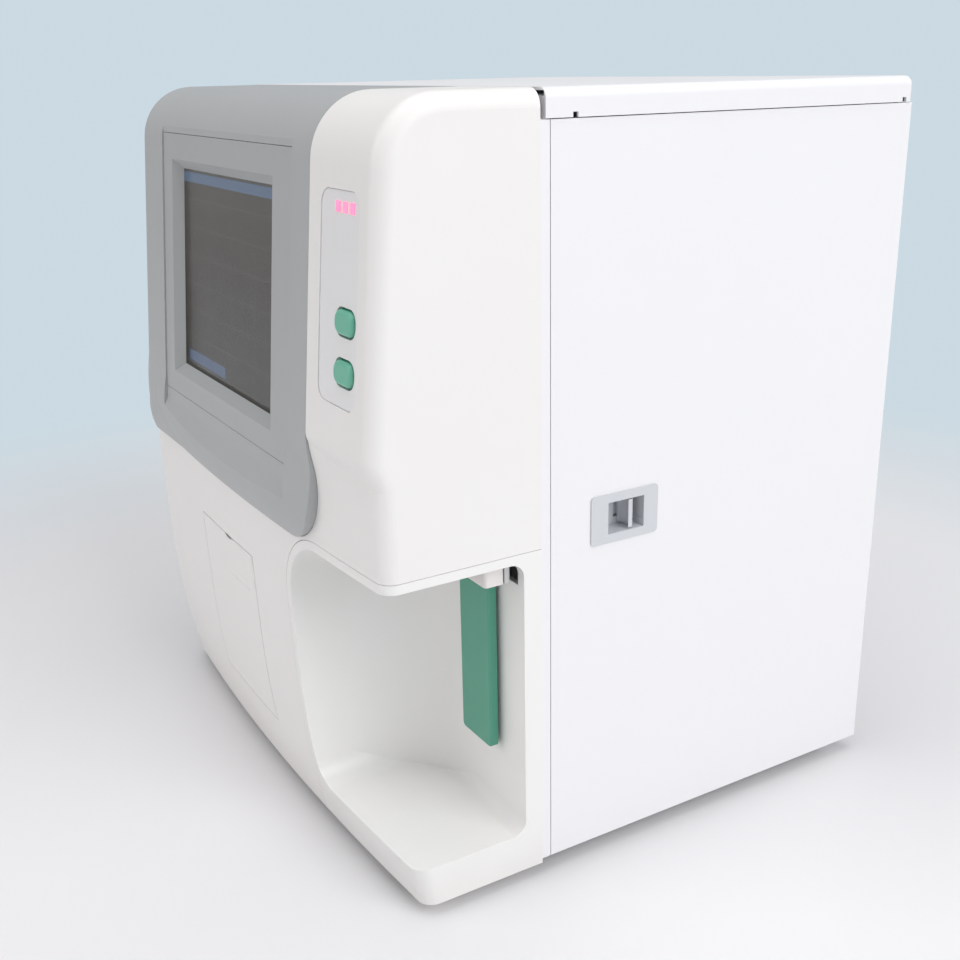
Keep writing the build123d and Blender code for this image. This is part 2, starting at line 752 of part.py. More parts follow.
# Key board: circuit board behind the strip, with the two switches, on four posts
with BuildPart() as key_board:
    add(face_slab(strip_left + 2, strip_right + 4, strip_low_z + 3, strip_high_z - 1,
                  board_depth, board_depth + 1.6))
    for key_z in (feed_key_z, sample_key_z):
        add(face_slab(key_x - 3, key_x + 3, key_z - 3, key_z + 3, board_depth - 4, board_depth))
    for post_x in (strip_left + 6, strip_right + 2):
        for post_z in (strip_low_z + 5, strip_high_z - 22):
            add(face_slab(post_x - 2, post_x + 2, post_z - 2, post_z + 2, mould_wall, board_depth))
save(key_board, "key_board")

# Bulkhead: sheet between the mouldings and the body, with a lip that the mouldings fit over
lip_inset = mould_wall + running
liner_top_z = bay_ceiling_z + bay_rim
with BuildPart() as bulkhead:
    hem_top_z = cover_flange_z - 0.5
    cover_inside = half_width - sheet - running
    add(block((-half_width + 1, half_width - 1), (bulkhead_y, bulkhead_y + sheet), (door_low_z, hem_top_z)))
    add(block((-cover_inside, cover_inside), (bulkhead_y, bulkhead_y + sheet), (hem_top_z, top_z - 4)))
    for side in (-1, 1):
        edge_x = side * (half_width - 1 - sheet / 2)
        add(block((edge_x - sheet / 2, edge_x + sheet / 2), (mould_rear_y + seam, door_front_y - 0.5),
                  (door_low_z, hem_top_z)))
    lip_x = half_width - lip_inset - sheet / 2
    for at_x, low, high in ((-lip_x, floor_z + 14, top_z - hood_corner - 6),
                            (lip_x, bay_floor_z + 3, bay_ceiling_z - 6),
                            (lip_x, liner_top_z + 4, top_z - 14)):
        add(block((at_x - sheet / 2, at_x + sheet / 2), (bulkhead_y - 9, bulkhead_y + 1), (low, high)))
    lip_z = floor_z + lip_inset
    add(block((-half_width + 14, bay_left - 14), (bulkhead_y - 9, bulkhead_y + 1), (lip_z, lip_z + sheet)))
    lip_z = top_z - lip_inset - sheet
    add(block((-half_width + hood_corner + 4, hood_right - 4), (bulkhead_y - 9, bulkhead_y + 1),
              (lip_z, lip_z + sheet)))
    add(block((hood_right + 4, half_width - 14), (bulkhead_y - 9, bulkhead_y + 1), (lip_z, lip_z + sheet)))
    add(block((window_x0, window_x1), (bulkhead_y - 2, bulkhead_y + 4), (wash_low_z - 1.5, top_z - 26)),
        mode=Mode.SUBTRACT)
    add(block((-150, 40), (bulkhead_y - 2, bulkhead_y + 4), (top_z - 220, top_z - 40)),
        mode=Mode.SUBTRACT)
    add(block((-95, 45), (bulkhead_y - 2, bulkhead_y + 4), (40, 170)), mode=Mode.SUBTRACT)
save(bulkhead, "bulkhead")

# Base tray: folded floor of the body
tray_x = half_width - sheet - 1.0
with BuildPart() as base_tray:
    add(block((-tray_x, tray_x - 12), (bulkhead_y + sheet, back_y - sheet), (floor_z, floor_z + 2)))
    add(block((-tray_x, -tray_x + sheet), (bulkhead_y + sheet, back_y - sheet), (floor_z, floor_z + 20)))
    add(block((-tray_x, tray_x - 12), (bulkhead_y + sheet, bulkhead_y + 2 * sheet), (floor_z, floor_z + 20)))
    add(block((-tray_x, tray_x - 12), (back_y - 2 * sheet, back_y - sheet), (floor_z, floor_z + 20)))
save(base_tray, "base_tray")

# Left panel: fixed side sheet, its edges returned inwards
with BuildPart() as left_panel:
    add(block((-half_width + 1, -half_width + 1 + sheet), (door_front_y, rear_y), (door_low_z, door_high_z)))
    add(block((-half_width + 1, -half_width + 10), (rear_y - sheet, rear_y), (door_low_z, door_high_z)))
    add(block((-half_width + 1, -half_width + 10), (door_front_y, door_front_y + sheet),
              (door_low_z + 20, door_high_z - 4)))
save(left_panel, "left_panel")

# Top cover: sheet lid that wraps over both sides and the rear
with BuildPart() as top_cover:
    add(block((-half_width, half_width), (mould_rear_y + 3, rear_y), (cover_flange_z, top_z)))
    long_edges = edges().filter_by(Axis.Y).group_by(Axis.Z)[-1]
    fillet(long_edges, 5)
    rear_edge = faces().sort_by(Axis.Y)[-1].edges().sort_by(Axis.Z)[-1]
    fillet(rear_edge, 4)
    add(block((-half_width + sheet, half_width - sheet), (mould_rear_y - 10, rear_y - sheet),
              (cover_flange_z - 1, top_z - sheet)), mode=Mode.SUBTRACT)
    for notch_y in (door_front_y + 15, rear_y - 6):
        for side in (-1, 1):
            add(block((side * half_width - 2, side * half_width + 2), (notch_y - 3, notch_y),
                      (cover_flange_z - 1, cover_flange_z + 2.5)), mode=Mode.SUBTRACT)
save(top_cover, "top_cover")

# Rear panel: sheet set just inside the covers, with the service cut-outs
with BuildPart() as rear_panel:
    add(block((-half_width + 11, door_wrap_x - 1), (back_y - sheet, back_y), (floor_z, cover_flange_z)))
    for side_x in (-half_width + 11, door_wrap_x - 1 - sheet):
        add(block((side_x, side_x + sheet), (back_y - 18, back_y), (floor_z + 21, cover_flange_z)))
    add(block((-half_width + 11, door_wrap_x - 1), (back_y - 18, back_y),
              (cover_flange_z + 2, cover_flange_z + 2 + sheet)))
    add(block((-half_width + 11, door_wrap_x - 1), (back_y - sheet, back_y),
              (cover_flange_z - 1, cover_flange_z + 2)))
    # arcs of slots in front of the fan
    with BuildSketch(Plane.XZ.offset(-back_y - 1)):
        with Locations((fan_x, fan_z)):
            for ring in (36, 28, 20, 12):
                Circle(ring)
                Circle(ring - 4.5, mode=Mode.SUBTRACT)
            for spoke in (0, 60, 120):
                Rectangle(80, 5, rotation=spoke, mode=Mode.SUBTRACT)
    extrude(amount=4, mode=Mode.SUBTRACT)
    # rows of vent slots
    with BuildSketch(Plane.XZ.offset(-back_y - 1)):
        with Locations((20, 330)):
            with GridLocations(0, 9, 1, 8):
                SlotOverall(70, 3.5)
    extrude(amount=4, mode=Mode.SUBTRACT)
    add(block((inlet_x - 14, inlet_x + 14), (back_y - 4, back_y + 2), (inlet_z - 10.5, inlet_z + 10.5)),
        mode=Mode.SUBTRACT)
    add(block((inlet_x - 10, inlet_x + 10), (back_y - 4, back_y + 2), (switch_z - 14, switch_z + 14)),
        mode=Mode.SUBTRACT)
    add(block((ports_x - 42, ports_x + 42), (back_y - 4, back_y + 2), (ports_z - 18, ports_z + 18)),
        mode=Mode.SUBTRACT)
    add(block((fit_x - 42, fit_x + 42), (back_y - 4, back_y + 2), (fit_z - 22, fit_z + 22)),
        mode=Mode.SUBTRACT)
save(rear_panel, "rear_panel")

# Side door: sheet door with returned edges, wrapping the rear corner around its pivots
skin_x = half_width - 1.0
with BuildPart() as side_door:
    add(block((skin_x - sheet, skin_x), (door_front_y, rear_y), (door_low_z, door_high_z)))
    add(block((skin_x - 6, skin_x), (door_front_y, door_front_y + sheet), (door_low_z, door_high_z)))
    add(block((door_wrap_x + 2.5, skin_x), (rear_y - sheet, rear_y), (door_low_z + 30, door_high_z - 30)))
    # tabs at top and bottom, their inner rear corner rounded about the pivot
    for tab_z in (door_low_z, door_high_z - sheet):
        with BuildSketch(Plane.XY.offset(tab_z)):
            with Locations((skin_x - tab_width / 2, (door_front_y + rear_y) / 2)):
                Rectangle(tab_width, rear_y - door_front_y)
            inner_corner = vertices().group_by(Axis.X)[0].sort_by(Axis.Y)[-1]
            fillet(inner_corner, rear_y - hinge_y - 0.2)
        extrude(amount=sheet)
    add(rod((hinge_x, hinge_y, door_low_z - 1), (0, 0, 1), pivot_pin + running / 4, 500), mode=Mode.SUBTRACT)
    # opening for the latch
    add(block((skin_x - 5, skin_x + 2), (latch_y - latch_length / 2 + 2, latch_y + latch_length / 2 - 2),
              (latch_z - latch_height / 2 + 2, latch_z + latch_height / 2 - 2)), mode=Mode.SUBTRACT)
save(side_door, "side_door")


def pivot_bracket(low, high, pin_low, pin_high):
    """An angle bracket on the rear panel's side flange, with a pivot pin for the door."""
    with BuildPart() as bracket:
        flange_x = door_wrap_x - 1
        knuckle = pivot_pin + 0.7
        add(block((flange_x, flange_x + sheet), (hinge_y - 15, hinge_y - 1), (low - 12, high + 12)))
        add(block((flange_x, hinge_x), (hinge_y - knuckle, hinge_y + 1), (low, high)))
        add(rod((hinge_x, hinge_y, low), (0, 0, 1), knuckle, high - low))
        add(rod((hinge_x, hinge_y, pin_low), (0, 0, 1), pivot_pin, pin_high - pin_low))
    return bracket


lower_pivot = pivot_bracket(door_low_z + sheet + running, door_low_z + sheet + running + 3,
                            door_low_z - 1, door_low_z + sheet + running + 3)
save(lower_pivot, "lower_pivot")
upper_pivot = pivot_bracket(door_high_z - sheet - running - 3, door_high_z - sheet - running,
                            door_high_z - sheet - running - 3, door_high_z + 0.4)
save(upper_pivot, "upper_pivot")


# Latch: flush grey bezel with a finger pocket, and a sprung slide that carries the bolt
latch_front, latch_rear = latch_y - latch_length / 2, latch_y + latch_length / 2
latch_low, latch_high = latch_z - latch_height / 2, latch_z + latch_height / 2
pocket_front, pocket_rear = latch_front + 11, latch_front + 35
pocket_low, pocket_high = latch_z - 9, latch_z + 9
slide_y = pocket_rear - 8
with BuildPart() as latch_bezel:
    with BuildSketch(Plane.YZ.offset(skin_x)):
        with Locations((latch_y, latch_z)):
            RectangleRounded(latch_length, latch_height, 2.5)
    extrude(amount=0.9)
    add(block((skin_x - pocket_depth - 1.5, skin_x), (latch_front + 2.4, latch_rear - 2.4),
              (latch_low + 2.4, latch_high - 2.4)))
    add(block((skin_x - pocket_depth, skin_x + 3), (pocket_front, pocket_rear), (pocket_low, pocket_high), 2.5),
        mode=Mode.SUBTRACT)
    # slot through the pocket's floor for the slide's neck
    add(block((skin_x - pocket_depth - 4, skin_x), (slide_y - 4, slide_y + 4 + latch_travel + running),
              (latch_z - 5, latch_z + 5)), mode=Mode.SUBTRACT)
save(latch_bezel, "latch_bezel")

with BuildPart() as latch_slide:
    # curved finger lip, standing in the pocket
    with BuildSketch(Plane.XY.offset(pocket_low + 1)):
        with BuildLine():
            x0, x1 = skin_x - pocket_depth + 0.3, skin_x + 0.2
            a = ThreePointArc((x0, slide_y - 1.5), ((x0 + x1) / 2, slide_y + 1.0), (x1, slide_y - 2.0))
            b = Line(a @ 1, (x1, slide_y + 0.6))
            c = ThreePointArc(b @ 1, ((x0 + x1) / 2, slide_y + 3.4), (x0, slide_y + 2.2))
            Line(c @ 1, a @ 0)
        make_face()
    extrude(amount=pocket_high - pocket_low - 2)
    add(block((skin_x - pocket_depth - 2.5, skin_x - pocket_depth + 1), (slide_y - 1.5, slide_y + 2.5),
              (latch_z - 4, latch_z + 4)))
    # flat bolt behind the pocket, running forward to the strike
    add(block((skin_x - pocket_depth - 5, skin_x - pocket_depth - 1.8), (strike_y - 3.6, slide_y + 6),
              (latch_z - 4.5, latch_z + 4.5)))
save(latch_slide, "latch_slide")

# Strike: open-sided clip on the bulkhead that the bolt's nose sits in
with BuildPart() as latch_strike:
    add(block((lift_x + 6.5, skin_x - 11.5), (bulkhead_y + sheet, strike_y), (latch_z - 9, latch_z + 9)))
    add(block((skin_x - pocket_depth - 6, skin_x + 5), (strike_y - 6, strike_y + 4),
              (latch_z - 5, latch_z + 5)), mode=Mode.SUBTRACT)
save(latch_strike, "latch_strike")

# Rubber feet
with BuildPart() as feet:
    with Locations((-150, -130), (150, -130), (-165, 155), (155, 155)):
        Cylinder(12, floor_z, align=(Align.CENTER, Align.CENTER, Align.MIN))
    low_edges = edges().filter_by(GeomType.CIRCLE).group_by(Axis.Z)[0]
    chamfer(low_edges, 1.5)
save(feet, "feet")

# Centre plate: upright sheet between the fluid side and the electronics
with BuildPart() as centre_plate:
    add(block((centre_x, centre_x + 2), (bulkhead_y + 2 * sheet, centre_rear_y), (floor_z + 2, top_z - 22)))
    add(block((centre_x, centre_x + 20), (bulkhead_y + 2 * sheet, centre_rear_y), (floor_z + 2, floor_z + 4)))
    add(block((centre_x, centre_x + 20), (bulkhead_y + sheet, bulkhead_y + sheet + 2), (floor_z + 21, top_z - 32)))
save(centre_plate, "centre_plate")

# Rail bracket: shelf and drop plate that carry the two cross rails and their fixed screw
with BuildPart() as rail_bracket:
    add(block((centre_x + 2, rail_plate_x + 2), (rail_front_y, rail_rear_y), (top_z - 30, top_z - 28)))
    add(block((rail_plate_x, rail_plate_x + 2), (rail_front_y, rail_rear_y), (rail_low_z - 14, top_z - 28)))
    for lug_y in (rail_front_y, rail_rear_y - 5):
        for rail_z in (rail_low_z, rail_high_z, rail_screw_z):
            add(block((rail_plate_x + 2, rail_x + 8), (lug_y, lug_y + 5), (rail_z - 8, rail_z + 8)))
    for rail_z in (rail_low_z, rail_high_z):
        add(rod((rail_x, rail_front_y - 1, rail_z), (0, 1, 0), rail_radius, 140), mode=Mode.SUBTRACT)
    add(rod((rail_x, rail_front_y - 1, rail_screw_z), (0, 1, 0), screw_radius, 140), mode=Mode.SUBTRACT)
save(rail_bracket, "rail_bracket")

with BuildPart() as cross_rails:
    for rail_z in (rail_low_z, rail_high_z):
        add(rod((rail_x, rail_front_y, rail_z), (0, 1, 0), rail_radius, rail_rear_y - rail_front_y))
save(cross_rails, "cross_rails")

with BuildPart() as cross_screw:
    add(rod((rail_x, rail_front_y, rail_screw_z), (0, 1, 0), screw_radius, rail_rear_y - rail_front_y))
save(cross_screw, "cross_screw")

# Probe frame: plate that travels on the cross rails and holds the lift's rod and screw
with BuildPart() as probe_frame:
    add(block((frame_x, frame_x + 3), (probe_y - 8, frame_rear_y), (lift_low_z, lift_high_z)))
    add(block((wash_left, wash_right), (probe_y + 8, probe_y + 11), (wash_low_z, wash_high_z)))
    add(block((wash_left, lift_x + 5), (probe_y + 8, probe_y + 11), (wash_low_z, lift_low_z + 6)))
    for rail_z in (rail_low_z, rail_high_z):
        add(block((rail_x - 7, frame_x), (frame_rear_y - 16, frame_rear_y), (rail_z - 7, rail_z + 7)))
        add(rod((rail_x, -80, rail_z), (0, 1, 0), rail_radius + 0.05, 200), mode=Mode.SUBTRACT)
    for lug_z in (lift_low_z, lift_high_z - 6):
        add(block((frame_x + 3, lift_x + 5), (probe_y + 10, lift_screw_y + 8), (lug_z, lug_z + 6)))
    add(rod((lift_x, lift_rod_y, lift_low_z - 1), (0, 0, 1), lift_rod_radius, 240), mode=Mode.SUBTRACT)
    add(rod((lift_x, lift_screw_y, lift_low_z - 1), (0, 0, 1), screw_radius, 240), mode=Mode.SUBTRACT)
save(probe_frame, "probe_frame")

# Cross drive: motor with a turning nut, which pulls the frame along the fixed screw
with BuildPart() as cross_motor:
    add(block((rail_x - 9, frame_x), (frame_rear_y - 18, frame_rear_y + 4),
              (rail_screw_z - 14, rail_screw_z + 14)))
    add(rod((rail_x, -80, rail_screw_z), (0, 1, 0), screw_radius + 0.3, 200), mode=Mode.SUBTRACT)
save(cross_motor, "cross_motor")

with BuildPart() as lift_rod:
    add(rod((lift_x, lift_rod_y, lift_low_z), (0, 0, 1), lift_rod_radius, lift_high_z - lift_low_z))
save(lift_rod, "lift_rod")

with BuildPart() as lift_screw:
    add(rod((lift_x, lift_screw_y, lift_low_z), (0, 0, 1), screw_radius, lift_high_z - lift_low_z))
save(lift_screw, "lift_screw")

# Probe carriage: slides on the lift rod and grips the top of the probe
carriage_z = 322.0
with BuildPart() as probe_carriage:
    add(block((frame_x + 3.6, lift_x + 8), (probe_y - 6, lift_rod_y + 7), (carriage_z, carriage_z + 14), 2))
    add(block((frame_x + 3.6, lift_x + 8), (lift_rod_y + 6, lift_screw_y + 12), (carriage_z, carriage_z + 3)))
    add(rod((lift_x, lift_rod_y, carriage_z - 1), (0, 0, 1), lift_rod_radius + 0.05, 20), mode=Mode.SUBTRACT)
    add(rod((lift_x, lift_screw_y, carriage_z - 1), (0, 0, 1), screw_radius + 0.3, 20), mode=Mode.SUBTRACT)
    add(rod((probe_x, probe_y, carriage_z - 1), (0, 0, 1), probe_radius, 20), mode=Mode.SUBTRACT)
save(probe_carriage, "probe_carriage")

# Lift motor: turning-nut motor on the carriage, around the fixed lift screw
with BuildPart() as lift_motor:
    add(block((frame_x + 3.6, lift_x + 8), (lift_screw_y - 10, lift_screw_y + 12),
              (carriage_z + 3, carriage_z + 25), 2))
    add(rod((lift_x, lift_screw_y, carriage_z - 1), (0, 0, 1), screw_radius + 0.3, 40), mode=Mode.SUBTRACT)
    add(block((frame_x, lift_x + 10), (probe_y, lift_rod_y + 7.2), (carriage_z, carriage_z + 14.2)),
        mode=Mode.SUBTRACT)
save(lift_motor, "lift_motor")

# Sampling probe: stainless tube with a slanted tip
probe_tip_z = wash_low_z + 4
with BuildPart() as sampling_probe:
    add(rod((probe_x, probe_y, probe_tip_z), (0, 0, 1), probe_radius, carriage_z + 22 - probe_tip_z))
save(sampling_probe, "sampling_probe")

# Wash block: rinses the probe as it rises, screwed to the foot of the probe frame
with BuildPart() as wash_block:
    add(block((wash_left, wash_right), (probe_y - 4, probe_y + 8), (wash_low_z, wash_high_z), 2))
    add(rod((probe_x, probe_y, wash_low_z - 1), (0, 0, 1), probe_radius + 0.3, 30), mode=Mode.SUBTRACT)
save(wash_block, "wash_block")


# Fan: square frame behind the rear grille, and a bladed rotor on its motor hub
fan_front_y = back_y - sheet - 25
with BuildPart() as fan_frame:
    with BuildSketch(Plane.XZ.offset(-back_y + sheet)):
        with Locations((fan_x, fan_z)):
            RectangleRounded(2 * fan_half, 2 * fan_half, 4)
            Circle(fan_half - 1.5, mode=Mode.SUBTRACT)
            with GridLocations(2 * fan_half - 8, 2 * fan_half - 8, 2, 2):
                Circle(2, mode=Mode.SUBTRACT)
    extrude(amount=25)
    with BuildSketch(Plane.XZ.offset(-fan_front_y - 3)):
        with Locations((fan_x, fan_z)):
            Circle(16)
            for arm in (45, 135):
                Rectangle(2 * fan_half - 1, 4, rotation=arm)
    extrude(amount=3)
    add(rod((fan_x, fan_front_y, fan_z), (0, 1, 0), 2, 12))
save(fan_frame, "fan_frame")

with BuildPart() as fan_impeller:
    add(rod((fan_x, fan_front_y + 3.5, fan_z), (0, 1, 0), 15, 19))
    with BuildSketch(Plane.XZ.offset(-fan_front_y - 5)):
        with Locations((fan_x, fan_z)):
            with PolarLocations(25, 7):
                Rectangle(24, 9)
    extrude(amount=-14)
    add(rod((fan_x, fan_front_y + 2, fan_z), (0, 1, 0), 2.05, 12), mode=Mode.SUBTRACT)
save(fan_impeller, "fan_impeller")

# Power inlet, switch and its rocker
with BuildPart() as power_inlet:
    add(block((inlet_x - 13.7, inlet_x + 13.7), (back_y - 24, back_y), (inlet_z - 10.2, inlet_z + 10.2), 2))
    with BuildSketch(Plane.XZ.offset(-back_y)):
        with Locations((inlet_x, inlet_z)):
            RectangleRounded(31, 24, 3)
    extrude(amount=-2)
    with BuildSketch(Plane.XZ.offset(-back_y - 2)):
        with Locations((inlet_x, inlet_z)):
            RectangleRounded(24, 16, 2.5)
            for pin_x, pin_z in ((0, 3), (-7, -1), (7, -1)):
                with Locations((pin_x, pin_z)):
                    Rectangle(2, 4, mode=Mode.SUBTRACT)
    extrude(amount=17, mode=Mode.SUBTRACT)
save(power_inlet, "power_inlet")

with BuildPart() as switch_frame:
    add(block((inlet_x - 9.7, inlet_x + 9.7), (back_y - 14, back_y), (switch_z - 13.7, switch_z + 13.7), 1))
    with BuildSketch(Plane.XZ.offset(-back_y)):
        with Locations((inlet_x, switch_z)):
            RectangleRounded(24, 31, 2)
    extrude(amount=-1.5)
    add(block((inlet_x - 7.5, inlet_x + 7.5), (back_y - 11, back_y + 3), (switch_z - 11.5, switch_z + 11.5)),
        mode=Mode.SUBTRACT)
save(switch_frame, "switch_frame")

rocker_y = back_y - 5
rocker_tilt = 7.0
with BuildPart(mode=Mode.PRIVATE) as rocker_form:
    with BuildSketch(Plane.YZ.offset(inlet_x - 7.1)):
        with BuildLine():
            Polyline((rocker_y - 1, switch_z - 6), (back_y + 1.5, switch_z - 10), (back_y + 0.2, switch_z),
                     (back_y + 1.5, switch_z + 10), (rocker_y - 1, switch_z + 6), close=True)
        make_face()
    extrude(amount=14.2)
with BuildPart() as power_switch:
    add(rocker_form.part.rotate(Axis((inlet_x, rocker_y, switch_z), (1, 0, 0)), -rocker_tilt))
    add(rod((inlet_x - 7.4, rocker_y, switch_z), (1, 0, 0), 1.5, 14.8))
save(power_switch, "power_switch")

# Data ports and reagent fittings on their cut-out plates
with BuildPart() as data_ports:
    add(block((ports_x - 41.6, ports_x + 41.6), (back_y - 14, back_y - 0.2), (ports_z - 17.6, ports_z + 17.6)))
    for port_x, port_z, wide, high in ((-26, 0, 16, 14), (-4, 8, 13, 5.5), (-4, -6, 13, 5.5),
                                       (24, 0, 28, 11)):
        add(block((ports_x + port_x - wide / 2, ports_x + port_x + wide / 2), (back_y - 10, back_y + 1),
                  (ports_z + port_z - high / 2, ports_z + port_z + high / 2)), mode=Mode.SUBTRACT)
save(data_ports, "data_ports")

with BuildPart() as reagent_fittings:
    add(block((fit_x - 41.6, fit_x + 41.6), (back_y - 6, back_y - 0.2), (fit_z - 21.6, fit_z + 21.6)))
    for port in (-27, -9, 9, 27):
        add(rod((fit_x + port, back_y - 14, fit_z), (0, 1, 0), 6, 14.5))
        add(rod((fit_x + port, back_y - 22, fit_z), (0, 1, 0), 3, 24.6))
        add(rod((fit_x + port, back_y - 23, fit_z), (0, 1, 0), 1.6, 40), mode=Mode.SUBTRACT)
save(reagent_fittings, "reagent_fittings")

# Electronics: main board on standoffs, and the power supply in its metal box
with BuildPart() as main_board:
    board_low_z, board_high_z = top_z - 230, top_z - 50
    add(block((centre_x - 10, centre_x - 8.4), (-50, 120), (board_low_z, board_high_z)))
    for post_y in (-42, 112):
        for post_z in (board_low_z + 8, board_high_z - 8):
            add(rod((centre_x - 8.4, post_y, post_z), (1, 0, 0), 3, 8.4))
    for chip_y, chip_z, size in ((10, 100, 28), (60, 130, 16), (-20, 40, 20), (70, 40, 22)):
        add(block((centre_x - 14, centre_x - 10), (chip_y, chip_y + size),
                  (board_low_z + chip_z, board_low_z + chip_z + size)))
save(main_board, "main_board")

with BuildPart() as power_supply:
    add(block((-170, -70), (20, 140), (floor_z + 2, floor_z + 58), 1.5))
save(power_supply, "power_supply")


# Fluid shelf: folded sheet on the centre plate, with clips for the syringes
bath_y = (probe_y + first_bath_travel, probe_y + traverse_travel)
shelf_top_z = bath_low_z
with BuildPart() as fluid_shelf:
    add(block((centre_x + 2, half_width - 5), (bulkhead_y + 6, bath_y[1] + 18),
              (shelf_top_z - 2, shelf_top_z)))
    add(block((centre_x + 2, syringe_plate_x), (bath_y[1] + 18, syringe_y[1] + 20),
              (shelf_top_z - 2, shelf_top_z)))
    add(block((centre_x + 2, centre_x + 4), (bulkhead_y + 6, syringe_y[1] + 20),
              (shelf_top_z - 2, shelf_top_z + 16)))
    add(block((syringe_plate_x - 2, syringe_plate_x), (syringe_y[0] - 16, syringe_y[1] + 20),
              (motor_low_z, syringe_high_z + 10)))
    for at_y in syringe_y:
        for clip_z in (syringe_low_z + 4, syringe_high_z - 10):
            add(block((syringe_plate_x, syringe_x), (at_y - 12, at_y + 12), (clip_z, clip_z + 6)))
        add(rod((syringe_x, at_y, syringe_low_z), (0, 0, 1), barrel_radius, 100), mode=Mode.SUBTRACT)
    for at_y in bath_y:
        add(rod((probe_x, at_y, shelf_top_z - 5), (0, 0, 1), 4, 10), mode=Mode.SUBTRACT)
save(fluid_shelf, "fluid_shelf")

# Counting baths: clear cups that the probe lowers into, drained from below
with BuildPart() as counting_baths:
    for at_y in bath_y:
        add(rod((probe_x, at_y, bath_low_z), (0, 0, 1), bath_radius, bath_height))
        add(rod((probe_x, at_y, bath_low_z - 12), (0, 0, 1), 3, 13))
        with Locations((probe_x, at_y, bath_low_z + 4)):
            Cone(2, bath_radius - 2, 8, align=(Align.CENTER, Align.CENTER, Align.MIN), mode=Mode.SUBTRACT)
        add(rod((probe_x, at_y, bath_low_z + 11.9), (0, 0, 1), bath_radius - 2, bath_height),
            mode=Mode.SUBTRACT)
save(counting_baths, "counting_baths")

# Syringes: two glass barrels with a cap, their plungers, and the motors that pull the plungers
with BuildPart() as syringe_barrels:
    for at_y in syringe_y:
        add(rod((syringe_x, at_y, syringe_low_z), (0, 0, 1), barrel_radius, syringe_high_z - syringe_low_z))
        add(rod((syringe_x, at_y, syringe_high_z - 0.5), (0, 0, 1), 4, 8))
        add(rod((syringe_x, at_y, syringe_low_z - 1), (0, 0, 1), barrel_radius - 2,
                syringe_high_z - syringe_low_z - 4), mode=Mode.SUBTRACT)
save(syringe_barrels, "syringe_barrels")


def plunger_form(at_y):
    """A plunger: a seal that fits the barrel, on a rod that runs down through the motor."""
    with BuildPart() as form:
        seal_z = syringe_high_z - 16
        add(rod((syringe_x, at_y, seal_z), (0, 0, 1), barrel_radius - 2.05, 8))
        add(rod((syringe_x, at_y, motor_low_z + motor_height - 12), (0, 0, 1), plunger_radius,
                seal_z - motor_low_z - motor_height + 13))
    return form


sample_plunger = plunger_form(syringe_y[0])
save(sample_plunger, "sample_plunger")
dilution_plunger = plunger_form(syringe_y[1])
save(dilution_plunger, "dilution_plunger")

with BuildPart() as syringe_motors:
    for at_y in syringe_y:
        add(block((syringe_plate_x, syringe_x + 14), (at_y - 14, at_y + 14),
                  (motor_low_z, motor_low_z + motor_height), 2))
        add(rod((syringe_x, at_y, motor_low_z - 1), (0, 0, 1), plunger_radius + 0.05, motor_height + 2),
            mode=Mode.SUBTRACT)
save(syringe_motors, "syringe_motors")

# Valve bank: solenoid valves in a row on their manifold
with BuildPart() as valve_bank:
    add(block((centre_x + 2, centre_x + 18), (valve_y, valve_y + 5 * valve_pitch + 4), (valve_z, valve_z + 22)))
    for index in range(5):
        at_y = valve_y + 2 + valve_pitch / 2 + index * valve_pitch
        add(block((centre_x + 18, centre_x + 40), (at_y - 9, at_y + 9), (valve_z + 2, valve_z + 20), 1.5))
        add(rod((centre_x + 40, at_y, valve_z + 11), (1, 0, 0), 5, 7))
save(valve_bank, "valve_bank")
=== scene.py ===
import math

import bpy
import bmesh
from mathutils import Matrix, Vector


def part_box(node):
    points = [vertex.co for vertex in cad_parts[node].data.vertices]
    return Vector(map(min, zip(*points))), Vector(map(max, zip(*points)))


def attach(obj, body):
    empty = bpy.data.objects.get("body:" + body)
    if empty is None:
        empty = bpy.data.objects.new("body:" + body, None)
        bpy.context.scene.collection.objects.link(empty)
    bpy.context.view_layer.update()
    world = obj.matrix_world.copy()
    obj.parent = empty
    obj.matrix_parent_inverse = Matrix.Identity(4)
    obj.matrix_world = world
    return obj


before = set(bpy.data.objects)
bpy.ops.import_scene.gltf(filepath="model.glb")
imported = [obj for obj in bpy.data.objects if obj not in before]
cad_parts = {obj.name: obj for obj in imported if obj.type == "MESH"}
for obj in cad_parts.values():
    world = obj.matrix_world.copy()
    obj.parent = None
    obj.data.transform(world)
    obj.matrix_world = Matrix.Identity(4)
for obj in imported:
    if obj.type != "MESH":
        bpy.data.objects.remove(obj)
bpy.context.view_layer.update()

# ---------------------------------------------------------------------------
# Bowed front shell: the lower front and the right column are one moulding in
# warm white plastic with a fine satin texture, clipped over the steel
# bulkhead. The printer door is moulded in the same plastic.


class Socket:
    """One output of a material's node tree, used in plain expressions."""

    def __init__(self, paint, out):
        self.paint, self.out = paint, out

    def maths(self, operation, *values):
        return self.paint.node("ShaderNodeMath", {"operation": operation}, *values)

    def __add__(self, other):
        return self.maths("ADD", self, other)

    def __sub__(self, other):
        return self.maths("SUBTRACT", self, other)

    def __mul__(self, other):
        return self.maths("MULTIPLY", self, other)

    def __gt__(self, other):
        return self.maths("GREATER_THAN", self, other)

    def __lt__(self, other):
        return self.maths("LESS_THAN", self, other)

    __radd__ = __add__
    __rmul__ = __mul__


